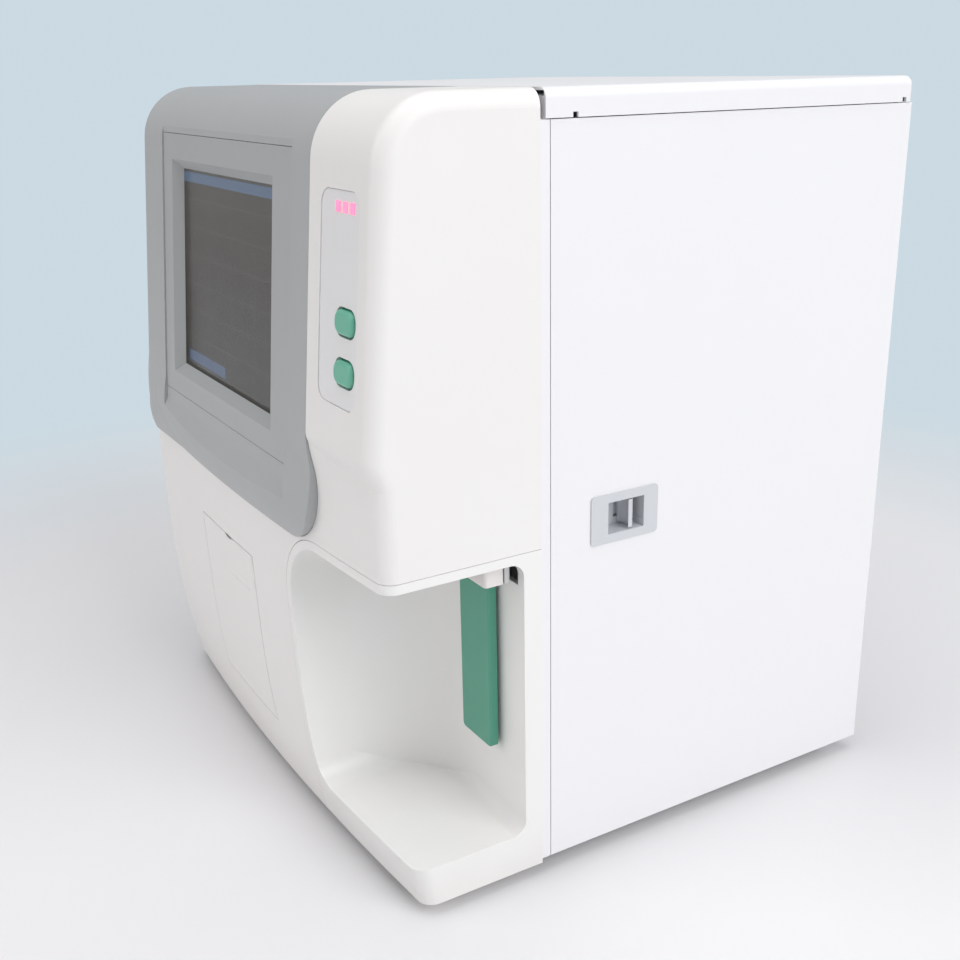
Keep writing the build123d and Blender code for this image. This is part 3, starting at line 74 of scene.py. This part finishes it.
class Paint:
    """A material that is built node by node, ending in one Principled shader."""

    def __init__(self, name, roughness=0.4, metallic=0.0, **settings):
        self.material = bpy.data.materials.new(name)
        self.material.use_nodes = True
        self.tree = self.material.node_tree
        self.shader = self.tree.nodes["Principled BSDF"]
        self.shader.inputs["Roughness"].default_value = roughness
        self.shader.inputs["Metallic"].default_value = metallic
        for socket, value in settings.items():
            self.shader.inputs[socket.replace("_", " ")].default_value = value
        self.place = self.node("ShaderNodeTexCoord", {}, output="Object")

    def node(self, kind, settings, *values, output=0, **named):
        made = self.tree.nodes.new(kind)
        stops = settings.pop("stops", None)
        for key, value in settings.items():
            setattr(made, key, value)
        if stops:
            ramp = made.color_ramp
            while len(ramp.elements) < len(stops):
                ramp.elements.new(0.5)
            for element, (position, colour) in zip(ramp.elements, stops):
                element.position = position
                element.color = (*colour, 1.0)
        pairs = list(zip(made.inputs, values))
        pairs += [(made.inputs[key.replace("_", " ")], value) for key, value in named.items()]
        for socket, value in pairs:
            if isinstance(value, Socket):
                self.tree.links.new(value.out, socket)
            elif value is not None:
                socket.default_value = value
        return Socket(self, made.outputs[output])

    def axis(self, index):
        return self.node("ShaderNodeSeparateXYZ", {}, self.place, output=index)

    def noise(self, scale, detail=3.0, roughness=0.5, stretch=None):
        place = self.place
        if stretch:
            place = self.node("ShaderNodeMapping", {}, place, Scale=stretch)
        return self.node("ShaderNodeTexNoise", {}, Vector=place, Scale=scale, Detail=detail,
                         Roughness=roughness)

    def between(self, factor, first, second):
        """A colour between two, by a factor from 0 to 1."""
        made = self.tree.nodes.new("ShaderNodeMix")
        made.data_type = "RGBA"
        pairs = ((made.inputs[0], factor), (made.inputs[6], first), (made.inputs[7], second))
        for socket, value in pairs:
            if isinstance(value, Socket):
                self.tree.links.new(value.out, socket)
            else:
                socket.default_value = value if isinstance(value, (int, float)) else (*value, 1.0)[:4]
        return Socket(self, made.outputs[2])

    def ramp(self, factor, *stops):
        return self.node("ShaderNodeValToRGB", {"stops": stops}, factor)

    def feed(self, socket, value):
        self.tree.links.new(value.out, self.shader.inputs[socket])

    def relief(self, height, distance=0.0002, strength=0.4):
        self.feed("Normal", self.node("ShaderNodeBump", {}, Height=height, Strength=strength,
                                      Distance=distance))

    def wear(self, *nodes):
        """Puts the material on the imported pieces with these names."""
        for name in nodes:
            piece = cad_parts[name]
            piece.data.materials.clear()
            piece.data.materials.append(self.material)


def moulded(name, light, dark, roughness=0.42, grain=2600.0, depth=0.00006, bottom_darkening=0.0):
    """Moulded plastic: faint mottling, a fine texture and a brownish darkening towards the bottom."""
    paint = Paint(name, roughness, IOR=1.5)
    colour = paint.between(paint.noise(9.0, 4.0, 0.6), dark, light)
    if bottom_darkening:
        # darker and browner towards the bottom of the piece, fading out about 5 cm above the floor
        low = paint.ramp(paint.axis(2) + paint.noise(30.0, 5.0) * 0.03,
                         (0.0, (bottom_darkening, bottom_darkening, bottom_darkening)), (0.05, (0.0, 0.0, 0.0)))
        colour = paint.between(low, colour, (0.55, 0.52, 0.47))
    paint.feed("Base Color", colour)
    paint.feed("Roughness", paint.noise(40.0, 3.0) * 0.12 + (roughness - 0.06))
    paint.relief(paint.noise(grain, 2.0), depth, 0.35)
    return paint


shell_white = moulded("warm_white_moulding", (0.86, 0.845, 0.83), (0.83, 0.81, 0.79), bottom_darkening=0.25)
shell_white.wear("front_shell", "printer_door")

# ---------------------------------------------------------------------------
# Sampling bay liner: one pale tub, moulded with thick rounded walls so that a
# spill wipes off, its rim flush with the shell and held by the bulkhead.
liner_white = moulded("bay_liner_white", (0.87, 0.86, 0.845), (0.84, 0.825, 0.805), roughness=0.34,
                      grain=3200.0, bottom_darkening=0.2)
liner_white.wear("bay_liner")

# ---------------------------------------------------------------------------
# Start plate: the long green key behind the probe, moulded in coloured
# plastic, hung from a steel pin and pushed back with the sample tube.
plate_green = moulded("start_plate_green", (0.085, 0.34, 0.235), (0.07, 0.3, 0.205), roughness=0.38)
plate_green.wear("start_plate")

# ---------------------------------------------------------------------------
# Screen hood: the grey moulding round the touchscreen, with its bowed chin
# and crowned top. The bezel is a separate plate let into its channel.
hood_grey = moulded("hood_grey", (0.43, 0.44, 0.445), (0.4, 0.41, 0.415), roughness=0.4)
hood_grey.wear("screen_hood")
bezel_grey = moulded("bezel_grey", (0.42, 0.43, 0.435), (0.39, 0.4, 0.405), roughness=0.36, grain=3000.0)
bezel_grey.wear("screen_bezel")

# ---------------------------------------------------------------------------
# Touch glass and display: thin coated glass over a colour panel. The panel
# shows plain bands and rows, with no words on them.
glass = Paint("touch_glass_coated", 0.07, Alpha=0.12, IOR=1.5)
glass.feed("Base Color", glass.between(glass.noise(6.0), (0.1, 0.1, 0.1), (0.16, 0.155, 0.15)))
glass.feed("Roughness", glass.noise(25.0, 4.0) * 0.1 + 0.04)
glass.material.surface_render_method = "BLENDED"
glass.wear("touch_glass")

screen = Paint("display_picture", 0.3, Emission_Strength=1.0)
across = screen.axis(0)
up = screen.axis(2)
top_band = (up > 0.3735) * (up < 0.3795) * 0.8
foot_band = (up > 0.2595) * (up < 0.2665) * (across > -0.099) * (across < -0.03)
grid = screen.node("ShaderNodeTexBrick", {"offset": 0.0, "squash": 1.0},
                   Vector=screen.node("ShaderNodeMapping", {},
                                      screen.node("ShaderNodeCombineXYZ", {}, across, up, 0.0),
                                      Location=(0.101, -0.2585, 0.0)),
                   Color1=(0.0, 0.0, 0.0, 1.0), Color2=(0.0, 0.0, 0.0, 1.0), Mortar=(1.0, 1.0, 1.0, 1.0),
                   Scale=1.0, Mortar_Size=0.0006, Brick_Width=0.0402, Row_Height=0.0175)
ground = screen.ramp(up * 7.0 - 1.8, (0.0, (0.034, 0.033, 0.03)), (1.0, (0.075, 0.07, 0.062)))
picture = screen.between(grid * 0.25, ground, (0.13, 0.13, 0.12))
picture = screen.between(top_band, picture, (0.11, 0.17, 0.27))
picture = screen.between(foot_band, picture, (0.07, 0.11, 0.19))
screen.feed("Base Color", screen.between(screen.noise(8.0), (0.012, 0.012, 0.013), (0.02, 0.02, 0.02)))
screen.feed("Emission Color", picture)
screen.wear("display_module")

# ---------------------------------------------------------------------------
# Control strip: a satin plate let into the column, with cut-outs for the two
# soft-touch keys and a clear lens over three status lamps.
strip_white = moulded("control_strip_satin", (0.82, 0.812, 0.815), (0.79, 0.782, 0.785), roughness=0.36)
strip_white.wear("control_strip")

key_teal = moulded("key_teal", (0.16, 0.5, 0.36), (0.13, 0.44, 0.315), roughness=0.32)
key_teal.wear("paper_feed_key", "sampling_key")

lamps = Paint("status_lamps", 0.2, Emission_Strength=0.95)
lamps.feed("Base Color", lamps.between(lamps.noise(300.0), (0.9, 0.1, 0.28), (1.0, 0.2, 0.38)))
lamps.feed("Emission Color", lamps.between(lamps.noise(260.0), (1.0, 0.14, 0.28), (1.0, 0.34, 0.5)))
lamps.wear("lamp_lens")

# ---------------------------------------------------------------------------
# Steel covers: the top cover, the side door, the left and the rear panel and
# the bulkhead are folded from sheet and powder coated, which leaves a fine orange peel.


def powder_coat(name, light, dark):
    """Powder-coated sheet: even colour, a fine orange peel, faint marks from handling."""
    paint = Paint(name, 0.38, IOR=1.5, Coat_Weight=0.0)
    colour = paint.between(paint.noise(5.0, 5.0, 0.6), dark, light)
    scuffs = paint.ramp(paint.noise(60.0, 8.0, 0.7, stretch=(1.0, 0.25, 1.0)),
                        (0.66, (0.0, 0.0, 0.0)), (0.8, (0.25, 0.25, 0.25)))
    paint.feed("Base Color", paint.between(scuffs * 0.4, colour, (0.62, 0.6, 0.58)))
    paint.feed("Roughness", paint.noise(30.0, 4.0) * 0.14 + 0.32)
    paint.relief(paint.noise(520.0, 2.0, 0.4), 0.00012, 0.25)
    return paint


cover_white = powder_coat("powder_coated_white", (0.86, 0.855, 0.87), (0.835, 0.83, 0.845))
cover_white.wear("top_cover", "side_door", "left_panel", "rear_panel", "bulkhead")

# ---------------------------------------------------------------------------
# Door latch: a pale grey bezel set flush in the door, with a finger pocket
# and the curved lip of the sliding bolt. The strike is a folded steel clip.
latch_grey = moulded("latch_grey", (0.63, 0.645, 0.67), (0.6, 0.615, 0.64), roughness=0.33)
latch_grey.wear("latch_bezel", "latch_slide")

# ---------------------------------------------------------------------------
# Frame sheets: tray, centre plate and brackets in zinc-plated
# steel, with the dull flowers and the fine rolling lines of plated sheet.
zinc = Paint("zinc_plated_sheet", 0.38, 1.0)
flowers = zinc.node("ShaderNodeTexVoronoi", {"feature": "F1"}, Vector=zinc.place, Scale=70.0,
                    output="Color")
plate_tone = zinc.node("ShaderNodeSeparateColor", {}, flowers)
lines = zinc.noise(900.0, 2.0, stretch=(1.0, 1.0, 0.03))
zinc.feed("Base Color", zinc.between(plate_tone, (0.5, 0.505, 0.51), (0.6, 0.605, 0.61)))
zinc.feed("Roughness", plate_tone * 0.12 + lines * 0.1 + 0.28)
zinc.relief(lines, 0.00003, 0.2)
zinc.wear("base_tray", "centre_plate", "rail_bracket", "display_bracket", "plate_bracket",
          "upper_pivot", "lower_pivot", "latch_strike", "power_supply", "fluid_shelf")

# ---------------------------------------------------------------------------
# Rails, rods, screws and the probe: ground stainless steel, with fine turned
# lines round the bars and a thin film of oil.
ground_steel = Paint("ground_steel", 0.18, 1.0)
turned = ground_steel.noise(1800.0, 2.0, stretch=(1.0, 1.0, 1.0))
ground_steel.feed("Base Color", ground_steel.between(ground_steel.noise(20.0), (0.6, 0.6, 0.61),
                                                     (0.7, 0.7, 0.705)))
ground_steel.feed("Roughness", turned * 0.14 + 0.1)
ground_steel.relief(turned, 0.00002, 0.2)
ground_steel.wear("cross_rails", "lift_rod", "sampling_probe", "plate_pin")

threaded = Paint("lead_screw_steel", 0.25, 1.0)
cross_wave = threaded.node("ShaderNodeTexWave", {"wave_type": "BANDS", "bands_direction": "Y"},
                           Vector=threaded.place, Scale=160.0, Distortion=0.0)
lift_wave = threaded.node("ShaderNodeTexWave", {"wave_type": "BANDS", "bands_direction": "Z"},
                          Vector=threaded.place, Scale=160.0, Distortion=0.0)
threaded.feed("Base Color", threaded.between(cross_wave * lift_wave, (0.3, 0.3, 0.31),
                                             (0.62, 0.62, 0.63)))
threaded.feed("Roughness", lift_wave * 0.15 + 0.18)
threaded.relief(cross_wave * lift_wave, 0.0003, 0.8)
threaded.wear("cross_screw", "lift_screw")

# ---------------------------------------------------------------------------
# Machined aluminium: probe frame, motors and the valve bank, with the fine
# tool marks of milling and a dull bead-blasted skin.
alloy = Paint("machined_aluminium", 0.36, 1.0)
milled = alloy.noise(1200.0, 3.0, stretch=(1.0, 0.06, 1.0))
alloy.feed("Base Color", alloy.between(alloy.noise(16.0, 4.0), (0.56, 0.565, 0.57), (0.66, 0.665, 0.67)))
alloy.feed("Roughness", milled * 0.18 + 0.26)
alloy.relief(milled, 0.00004, 0.3)
alloy.wear("probe_frame", "cross_motor", "lift_motor", "syringe_motors", "valve_bank")

# ---------------------------------------------------------------------------
# White working plastics: wash block, carriage, plungers and the reagent
# fittings are turned or milled from dense white stock.
white_stock = moulded("white_working_plastic", (0.8, 0.77, 0.75), (0.75, 0.72, 0.7), roughness=0.34,
                      grain=1500.0)
white_stock.wear("wash_block", "probe_carriage", "reagent_fittings", "sample_plunger", "dilution_plunger")

# ---------------------------------------------------------------------------
# Baths and syringe barrels: clear moulded or drawn tubes, slightly greenish
# along the edge, with a faint haze from use.
clear = Paint("clear_tube", 0.08, Alpha=0.35, IOR=1.49)
clear.feed("Base Color", clear.between(clear.noise(40.0, 4.0), (0.72, 0.78, 0.77), (0.84, 0.87, 0.86)))
clear.feed("Roughness", clear.noise(60.0, 3.0) * 0.12 + 0.04)
clear.material.surface_render_method = "BLENDED"
clear.wear("counting_baths", "syringe_barrels")

# ---------------------------------------------------------------------------
# Black plastics: printer body, print head, fan, inlet, switch and ports,
# moulded with a matt spark-eroded texture.
black = Paint("black_moulding", 0.45, IOR=1.5)
black.feed("Base Color", black.between(black.noise(14.0, 4.0), (0.014, 0.014, 0.015),
                                       (0.024, 0.024, 0.026)))
black.feed("Roughness", black.noise(50.0, 3.0) * 0.16 + 0.38)
black.relief(black.noise(1700.0, 2.0), 0.00008, 0.4)
black.wear("printer_body", "print_head", "fan_frame", "fan_impeller", "power_inlet", "switch_frame",
           "power_switch", "data_ports")

# ---------------------------------------------------------------------------
# Circuit boards: green coated laminate with copper tracks under the coating,
# held on posts behind the strip and on the centre plate.
board = Paint("coated_board", 0.3, IOR=1.5, Coat_Weight=0.3)
tracks = board.node("ShaderNodeTexBrick", {"offset": 0.35, "squash": 1.0},
                    Vector=board.node("ShaderNodeCombineXYZ", {}, board.axis(1), board.axis(2), 0.0),
                    Color1=(0.0, 0.0, 0.0, 1.0), Color2=(0.25, 0.25, 0.25, 1.0),
                    Mortar=(1.0, 1.0, 1.0, 1.0), Scale=1.0, Mortar_Size=0.0004, Brick_Width=0.011,
                    Row_Height=0.0045)
board.feed("Base Color", board.between(tracks, (0.012, 0.09, 0.04), (0.03, 0.16, 0.07)))
board.feed("Roughness", board.noise(80.0) * 0.15 + 0.22)
board.relief(tracks, 0.00006, 0.3)
board.wear("key_board", "main_board")

# ---------------------------------------------------------------------------
# Rubber: four feet under the tray and the platen roller's sleeve, moulded in
# black rubber that has gone slightly dull.
rubber = Paint("dull_rubber", 0.7, IOR=1.5)
rubber.feed("Base Color", rubber.between(rubber.noise(30.0, 5.0), (0.02, 0.02, 0.02),
                                         (0.045, 0.044, 0.042)))
rubber.feed("Roughness", rubber.noise(60.0, 3.0) * 0.18 + 0.6)
rubber.relief(rubber.noise(1200.0, 3.0), 0.0001, 0.4)
rubber.wear("feet", "platen_roller")

# ---------------------------------------------------------------------------
# Paper roll: coated white paper, wound on a small core. The turns show as
# fine rings on its ends.
roll_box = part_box("paper_roll")
paper = Paint("coated_paper", 0.6, IOR=1.45)
centre = [(roll_box[0][i] + roll_box[1][i]) / 2 for i in range(3)]
round_y = paper.axis(1) - centre[1]
round_z = paper.axis(2) - centre[2]
square = round_y * round_y + round_z * round_z
spread = square.maths("SQRT", square)
turns = spread.maths("SINE", spread * 9000.0)
paper.feed("Base Color", paper.between(turns * 0.5 + 0.5, (0.72, 0.71, 0.69), (0.8, 0.79, 0.77)))
paper.feed("Roughness", paper.noise(90.0) * 0.1 + 0.55)
paper.relief(turns, 0.00005, 0.3)
paper.wear("paper_roll")

# ---------------------------------------------------------------------------
# Cover screws: pan-head steel screws with a cross recess, which hold the rear
# panel to its flanges. One screw is built and set on the panel's points.


def cross_head_screw(radius, height):
    """One pan head with its cross recess, its foot at the origin, pointing up +Z."""
    mesh = bmesh.new()
    sides = 24
    rings = []
    for r, z in ((radius, 0.0), (radius, height * 0.35), (radius * 0.86, height * 0.8),
                 (radius * 0.62, height)):
        angles = [i * math.tau / sides for i in range(sides)]
        rings.append([mesh.verts.new((r * math.cos(a), r * math.sin(a), z)) for a in angles])
    arm, half, floor = radius * 0.45, radius * 0.13, height * 0.45
    outline = [(arm, -half), (arm, half), (half, half), (half, arm), (-half, arm), (-half, half),
               (-arm, half), (-arm, -half), (-half, -half), (-half, -arm), (half, -arm), (half, -half)]
    corners = len(outline)
    for low, high in zip(rings, rings[1:]):
        for i in range(sides):
            mesh.faces.new((low[i], low[(i + 1) % sides], high[(i + 1) % sides], high[i]))
    mesh.faces.new(list(reversed(rings[0])))
    lip = [mesh.verts.new((x, y, height)) for x, y in outline]
    base = [mesh.verts.new((x * 0.8, y * 0.8, floor)) for x, y in outline]
    rim_edges = [mesh.edges.get((rings[-1][i], rings[-1][(i + 1) % sides])) for i in range(sides)]
    lip_edges = [mesh.edges.new((lip[i], lip[(i + 1) % corners])) for i in range(corners)]
    bmesh.ops.triangle_fill(mesh, edges=rim_edges + lip_edges, use_beauty=True, normal=(0, 0, 1))
    for i in range(corners):
        mesh.faces.new((lip[i], lip[(i + 1) % corners], base[(i + 1) % corners], base[i]))
    mesh.faces.new(base)
    bmesh.ops.recalc_face_normals(mesh, faces=mesh.faces)
    data = bpy.data.meshes.new("cross_head_screw")
    mesh.to_mesh(data)
    mesh.free()
    return bpy.data.objects.new("cross_head_screw", data)


def set_on_points(name, one, points, turn, material):
    """Copies of one small piece on a list of points, made with a node tree and baked to a mesh."""
    cloud = bpy.data.meshes.new(name + "_points")
    cloud.from_pydata([tuple(p) for p in points], [], [])
    holder = bpy.data.objects.new(name + "_holder", cloud)
    bpy.context.scene.collection.objects.link(holder)
    tree = bpy.data.node_groups.new(name + "_tree", "GeometryNodeTree")
    for label, kind, flow in (("Geometry", "NodeSocketGeometry", "INPUT"),
                              ("Piece", "NodeSocketObject", "INPUT"),
                              ("Finish", "NodeSocketMaterial", "INPUT"),
                              ("Size", "NodeSocketFloat", "INPUT"),
                              ("Geometry", "NodeSocketGeometry", "OUTPUT")):
        tree.interface.new_socket(label, in_out=flow, socket_type=kind)
    start, end = tree.nodes.new("NodeGroupInput"), tree.nodes.new("NodeGroupOutput")
    piece = tree.nodes.new("GeometryNodeObjectInfo")
    copies = tree.nodes.new("GeometryNodeInstanceOnPoints")
    copies.inputs["Rotation"].default_value = turn
    real = tree.nodes.new("GeometryNodeRealizeInstances")
    finish = tree.nodes.new("GeometryNodeSetMaterial")
    tree.links.new(start.outputs["Piece"], piece.inputs["Object"])
    tree.links.new(start.outputs["Geometry"], copies.inputs["Points"])
    tree.links.new(piece.outputs["Geometry"], copies.inputs["Instance"])
    tree.links.new(start.outputs["Size"], copies.inputs["Scale"])
    tree.links.new(copies.outputs["Instances"], real.inputs["Geometry"])
    tree.links.new(real.outputs["Geometry"], finish.inputs["Geometry"])
    tree.links.new(start.outputs["Finish"], finish.inputs["Material"])
    tree.links.new(finish.outputs["Geometry"], end.inputs["Geometry"])
    modifier = holder.modifiers.new("copies", "NODES")
    modifier.node_group = tree
    inputs = {s.name: s.identifier for s in tree.interface.items_tree
              if s.item_type == "SOCKET" and s.in_out == "INPUT"}
    modifier[inputs["Piece"]] = one
    modifier[inputs["Finish"]] = material
    modifier[inputs["Size"]] = 1.0
    graph = bpy.context.evaluated_depsgraph_get()
    made = bpy.data.meshes.new_from_object(holder.evaluated_get(graph))
    made.name = name
    piece_object = bpy.data.objects.new(name, made)
    bpy.context.scene.collection.objects.link(piece_object)
    bpy.data.objects.remove(holder)
    return piece_object


screw_steel = Paint("plated_screw", 0.3, 1.0)
screw_steel.feed("Base Color", screw_steel.between(screw_steel.noise(200.0), (0.5, 0.5, 0.5),
                                                   (0.62, 0.62, 0.61)))
screw_steel.feed("Roughness", screw_steel.noise(400.0) * 0.2 + 0.22)
rear_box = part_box("rear_panel")
rear_face = rear_box[1][1]
edge_inset, seat_gap = 0.009, 0.00002
high_row, low_row = 0.405, 0.02
screw_y = rear_face + seat_gap
screw_points = [(x, screw_y, z) for x in (rear_box[0][0] + edge_inset, rear_box[1][0] - edge_inset)
                for z in (0.03, 0.13, 0.23, 0.33, high_row)]
screw_points += [(x, screw_y, high_row) for x in (-0.1, 0.0, 0.09)]
screw_points += [(x, screw_y, low_row) for x in (-0.09, 0.0, 0.09)]
one_screw = cross_head_screw(0.0034, 0.0019)
bpy.context.scene.collection.objects.link(one_screw)
rear_screws = set_on_points("rear_screws", one_screw, screw_points, (-math.pi / 2, 0.0, 0.0),
                            screw_steel.material)
bpy.data.objects.remove(one_screw)
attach(rear_screws, "cabinet")

# ---------------------------------------------------------------------------
# The studio: a pale floor, a pale blue backdrop colour in the world and broad
# soft lights, with the camera where the photographer stood.
backdrop_colour = (0.6, 0.7, 0.765, 1.0)
floor_mesh = bpy.data.meshes.new("floor")
floor_mesh.from_pydata([(-6, -6, 0), (6, -6, 0), (6, 6, 0), (-6, 6, 0)], [], [(0, 1, 2, 3)])
floor = bpy.data.objects.new("floor", floor_mesh)
bpy.context.scene.collection.objects.link(floor)
table = Paint("pale_table", 0.5, IOR=1.45)
table.feed("Base Color", table.between(table.noise(3.0), (0.8, 0.79, 0.8), (0.83, 0.82, 0.83)))
# far from the analyzer the camera sees the backdrop's colour instead of the floor
reach = table.node("ShaderNodeVectorMath", {"operation": "LENGTH"}, table.place, output="Value")
far = table.ramp(reach, (0.5, (0.0, 0.0, 0.0)), (0.95, (1.0, 1.0, 1.0)))
seen_far = far * table.node("ShaderNodeLightPath", {}, output="Is Camera Ray")
backdrop = table.node("ShaderNodeEmission", {}, backdrop_colour, 1.0)
near = Socket(table, table.shader.outputs[0])
blend = table.node("ShaderNodeMixShader", {}, seen_far, near, backdrop)
table.tree.links.new(blend.out, table.tree.nodes["Material Output"].inputs["Surface"])
floor.data.materials.append(table.material)


def soft_light(name, place, aim, size, power, colour=(1.0, 1.0, 1.0)):
    """A broad square lamp that faces the point it is aimed at."""
    data = bpy.data.lights.new(name, "AREA")
    data.shape = "SQUARE"
    data.size = size
    data.energy = power
    data.color = colour
    lamp = bpy.data.objects.new(name, data)
    bpy.context.scene.collection.objects.link(lamp)
    lamp.location = place
    lamp.rotation_euler = (Vector(aim) - Vector(place)).to_track_quat("-Z", "Y").to_euler()


soft_light("window", (2.6, 0.7, 1.7), (0.1, 0.0, 0.2), 2.2, 49.0)
soft_light("overhead", (0.2, -0.2, 2.8), (0.0, 0.0, 0.2), 2.4, 36.0)
soft_light("front_fill", (-0.9, -2.6, 1.2), (0.0, -0.1, 0.2), 2.0, 20.0, (1.0, 0.94, 0.9))

world = bpy.data.worlds.new("room")
bpy.context.scene.world = world
world.use_nodes = True
tree = world.node_tree
background = tree.nodes["Background"]
background.inputs["Color"].default_value = (0.88, 0.92, 0.96, 1.0)
background.inputs["Strength"].default_value = 0.42
seen = tree.nodes.new("ShaderNodeBackground")
seen.inputs["Color"].default_value = backdrop_colour
seen.inputs["Strength"].default_value = 1.0
rays = tree.nodes.new("ShaderNodeLightPath")
pick = tree.nodes.new("ShaderNodeMixShader")
tree.links.new(rays.outputs["Is Camera Ray"], pick.inputs[0])
tree.links.new(background.outputs[0], pick.inputs[1])
tree.links.new(seen.outputs[0], pick.inputs[2])
tree.links.new(pick.outputs[0], tree.nodes["World Output"].inputs["Surface"])

yaw, pitch, roll = (math.radians(a) for a in (59.6017, 18.958, -1.1825))
ahead = Vector((-math.sin(yaw) * math.cos(pitch), math.cos(yaw) * math.cos(pitch), -math.sin(pitch)))
level = Vector((math.cos(yaw), math.sin(yaw), 0.0))
upright = level.cross(ahead)
right = math.cos(roll) * level + math.sin(roll) * upright
above = -math.sin(roll) * level + math.cos(roll) * upright
lens = bpy.data.cameras.new("camera")
lens.lens = 45.28
lens.sensor_width = 36.0
lens.clip_start = 0.01
lens.clip_end = 50.0
camera = bpy.data.objects.new("camera", lens)
bpy.context.scene.collection.objects.link(camera)
turn = Matrix((right, above, -ahead)).transposed().to_4x4()
camera.matrix_world = Matrix.Translation((0.676075, -0.394504, 0.439951)) @ turn
bpy.context.scene.camera = camera
bpy.context.scene.view_settings.view_transform = "Standard"
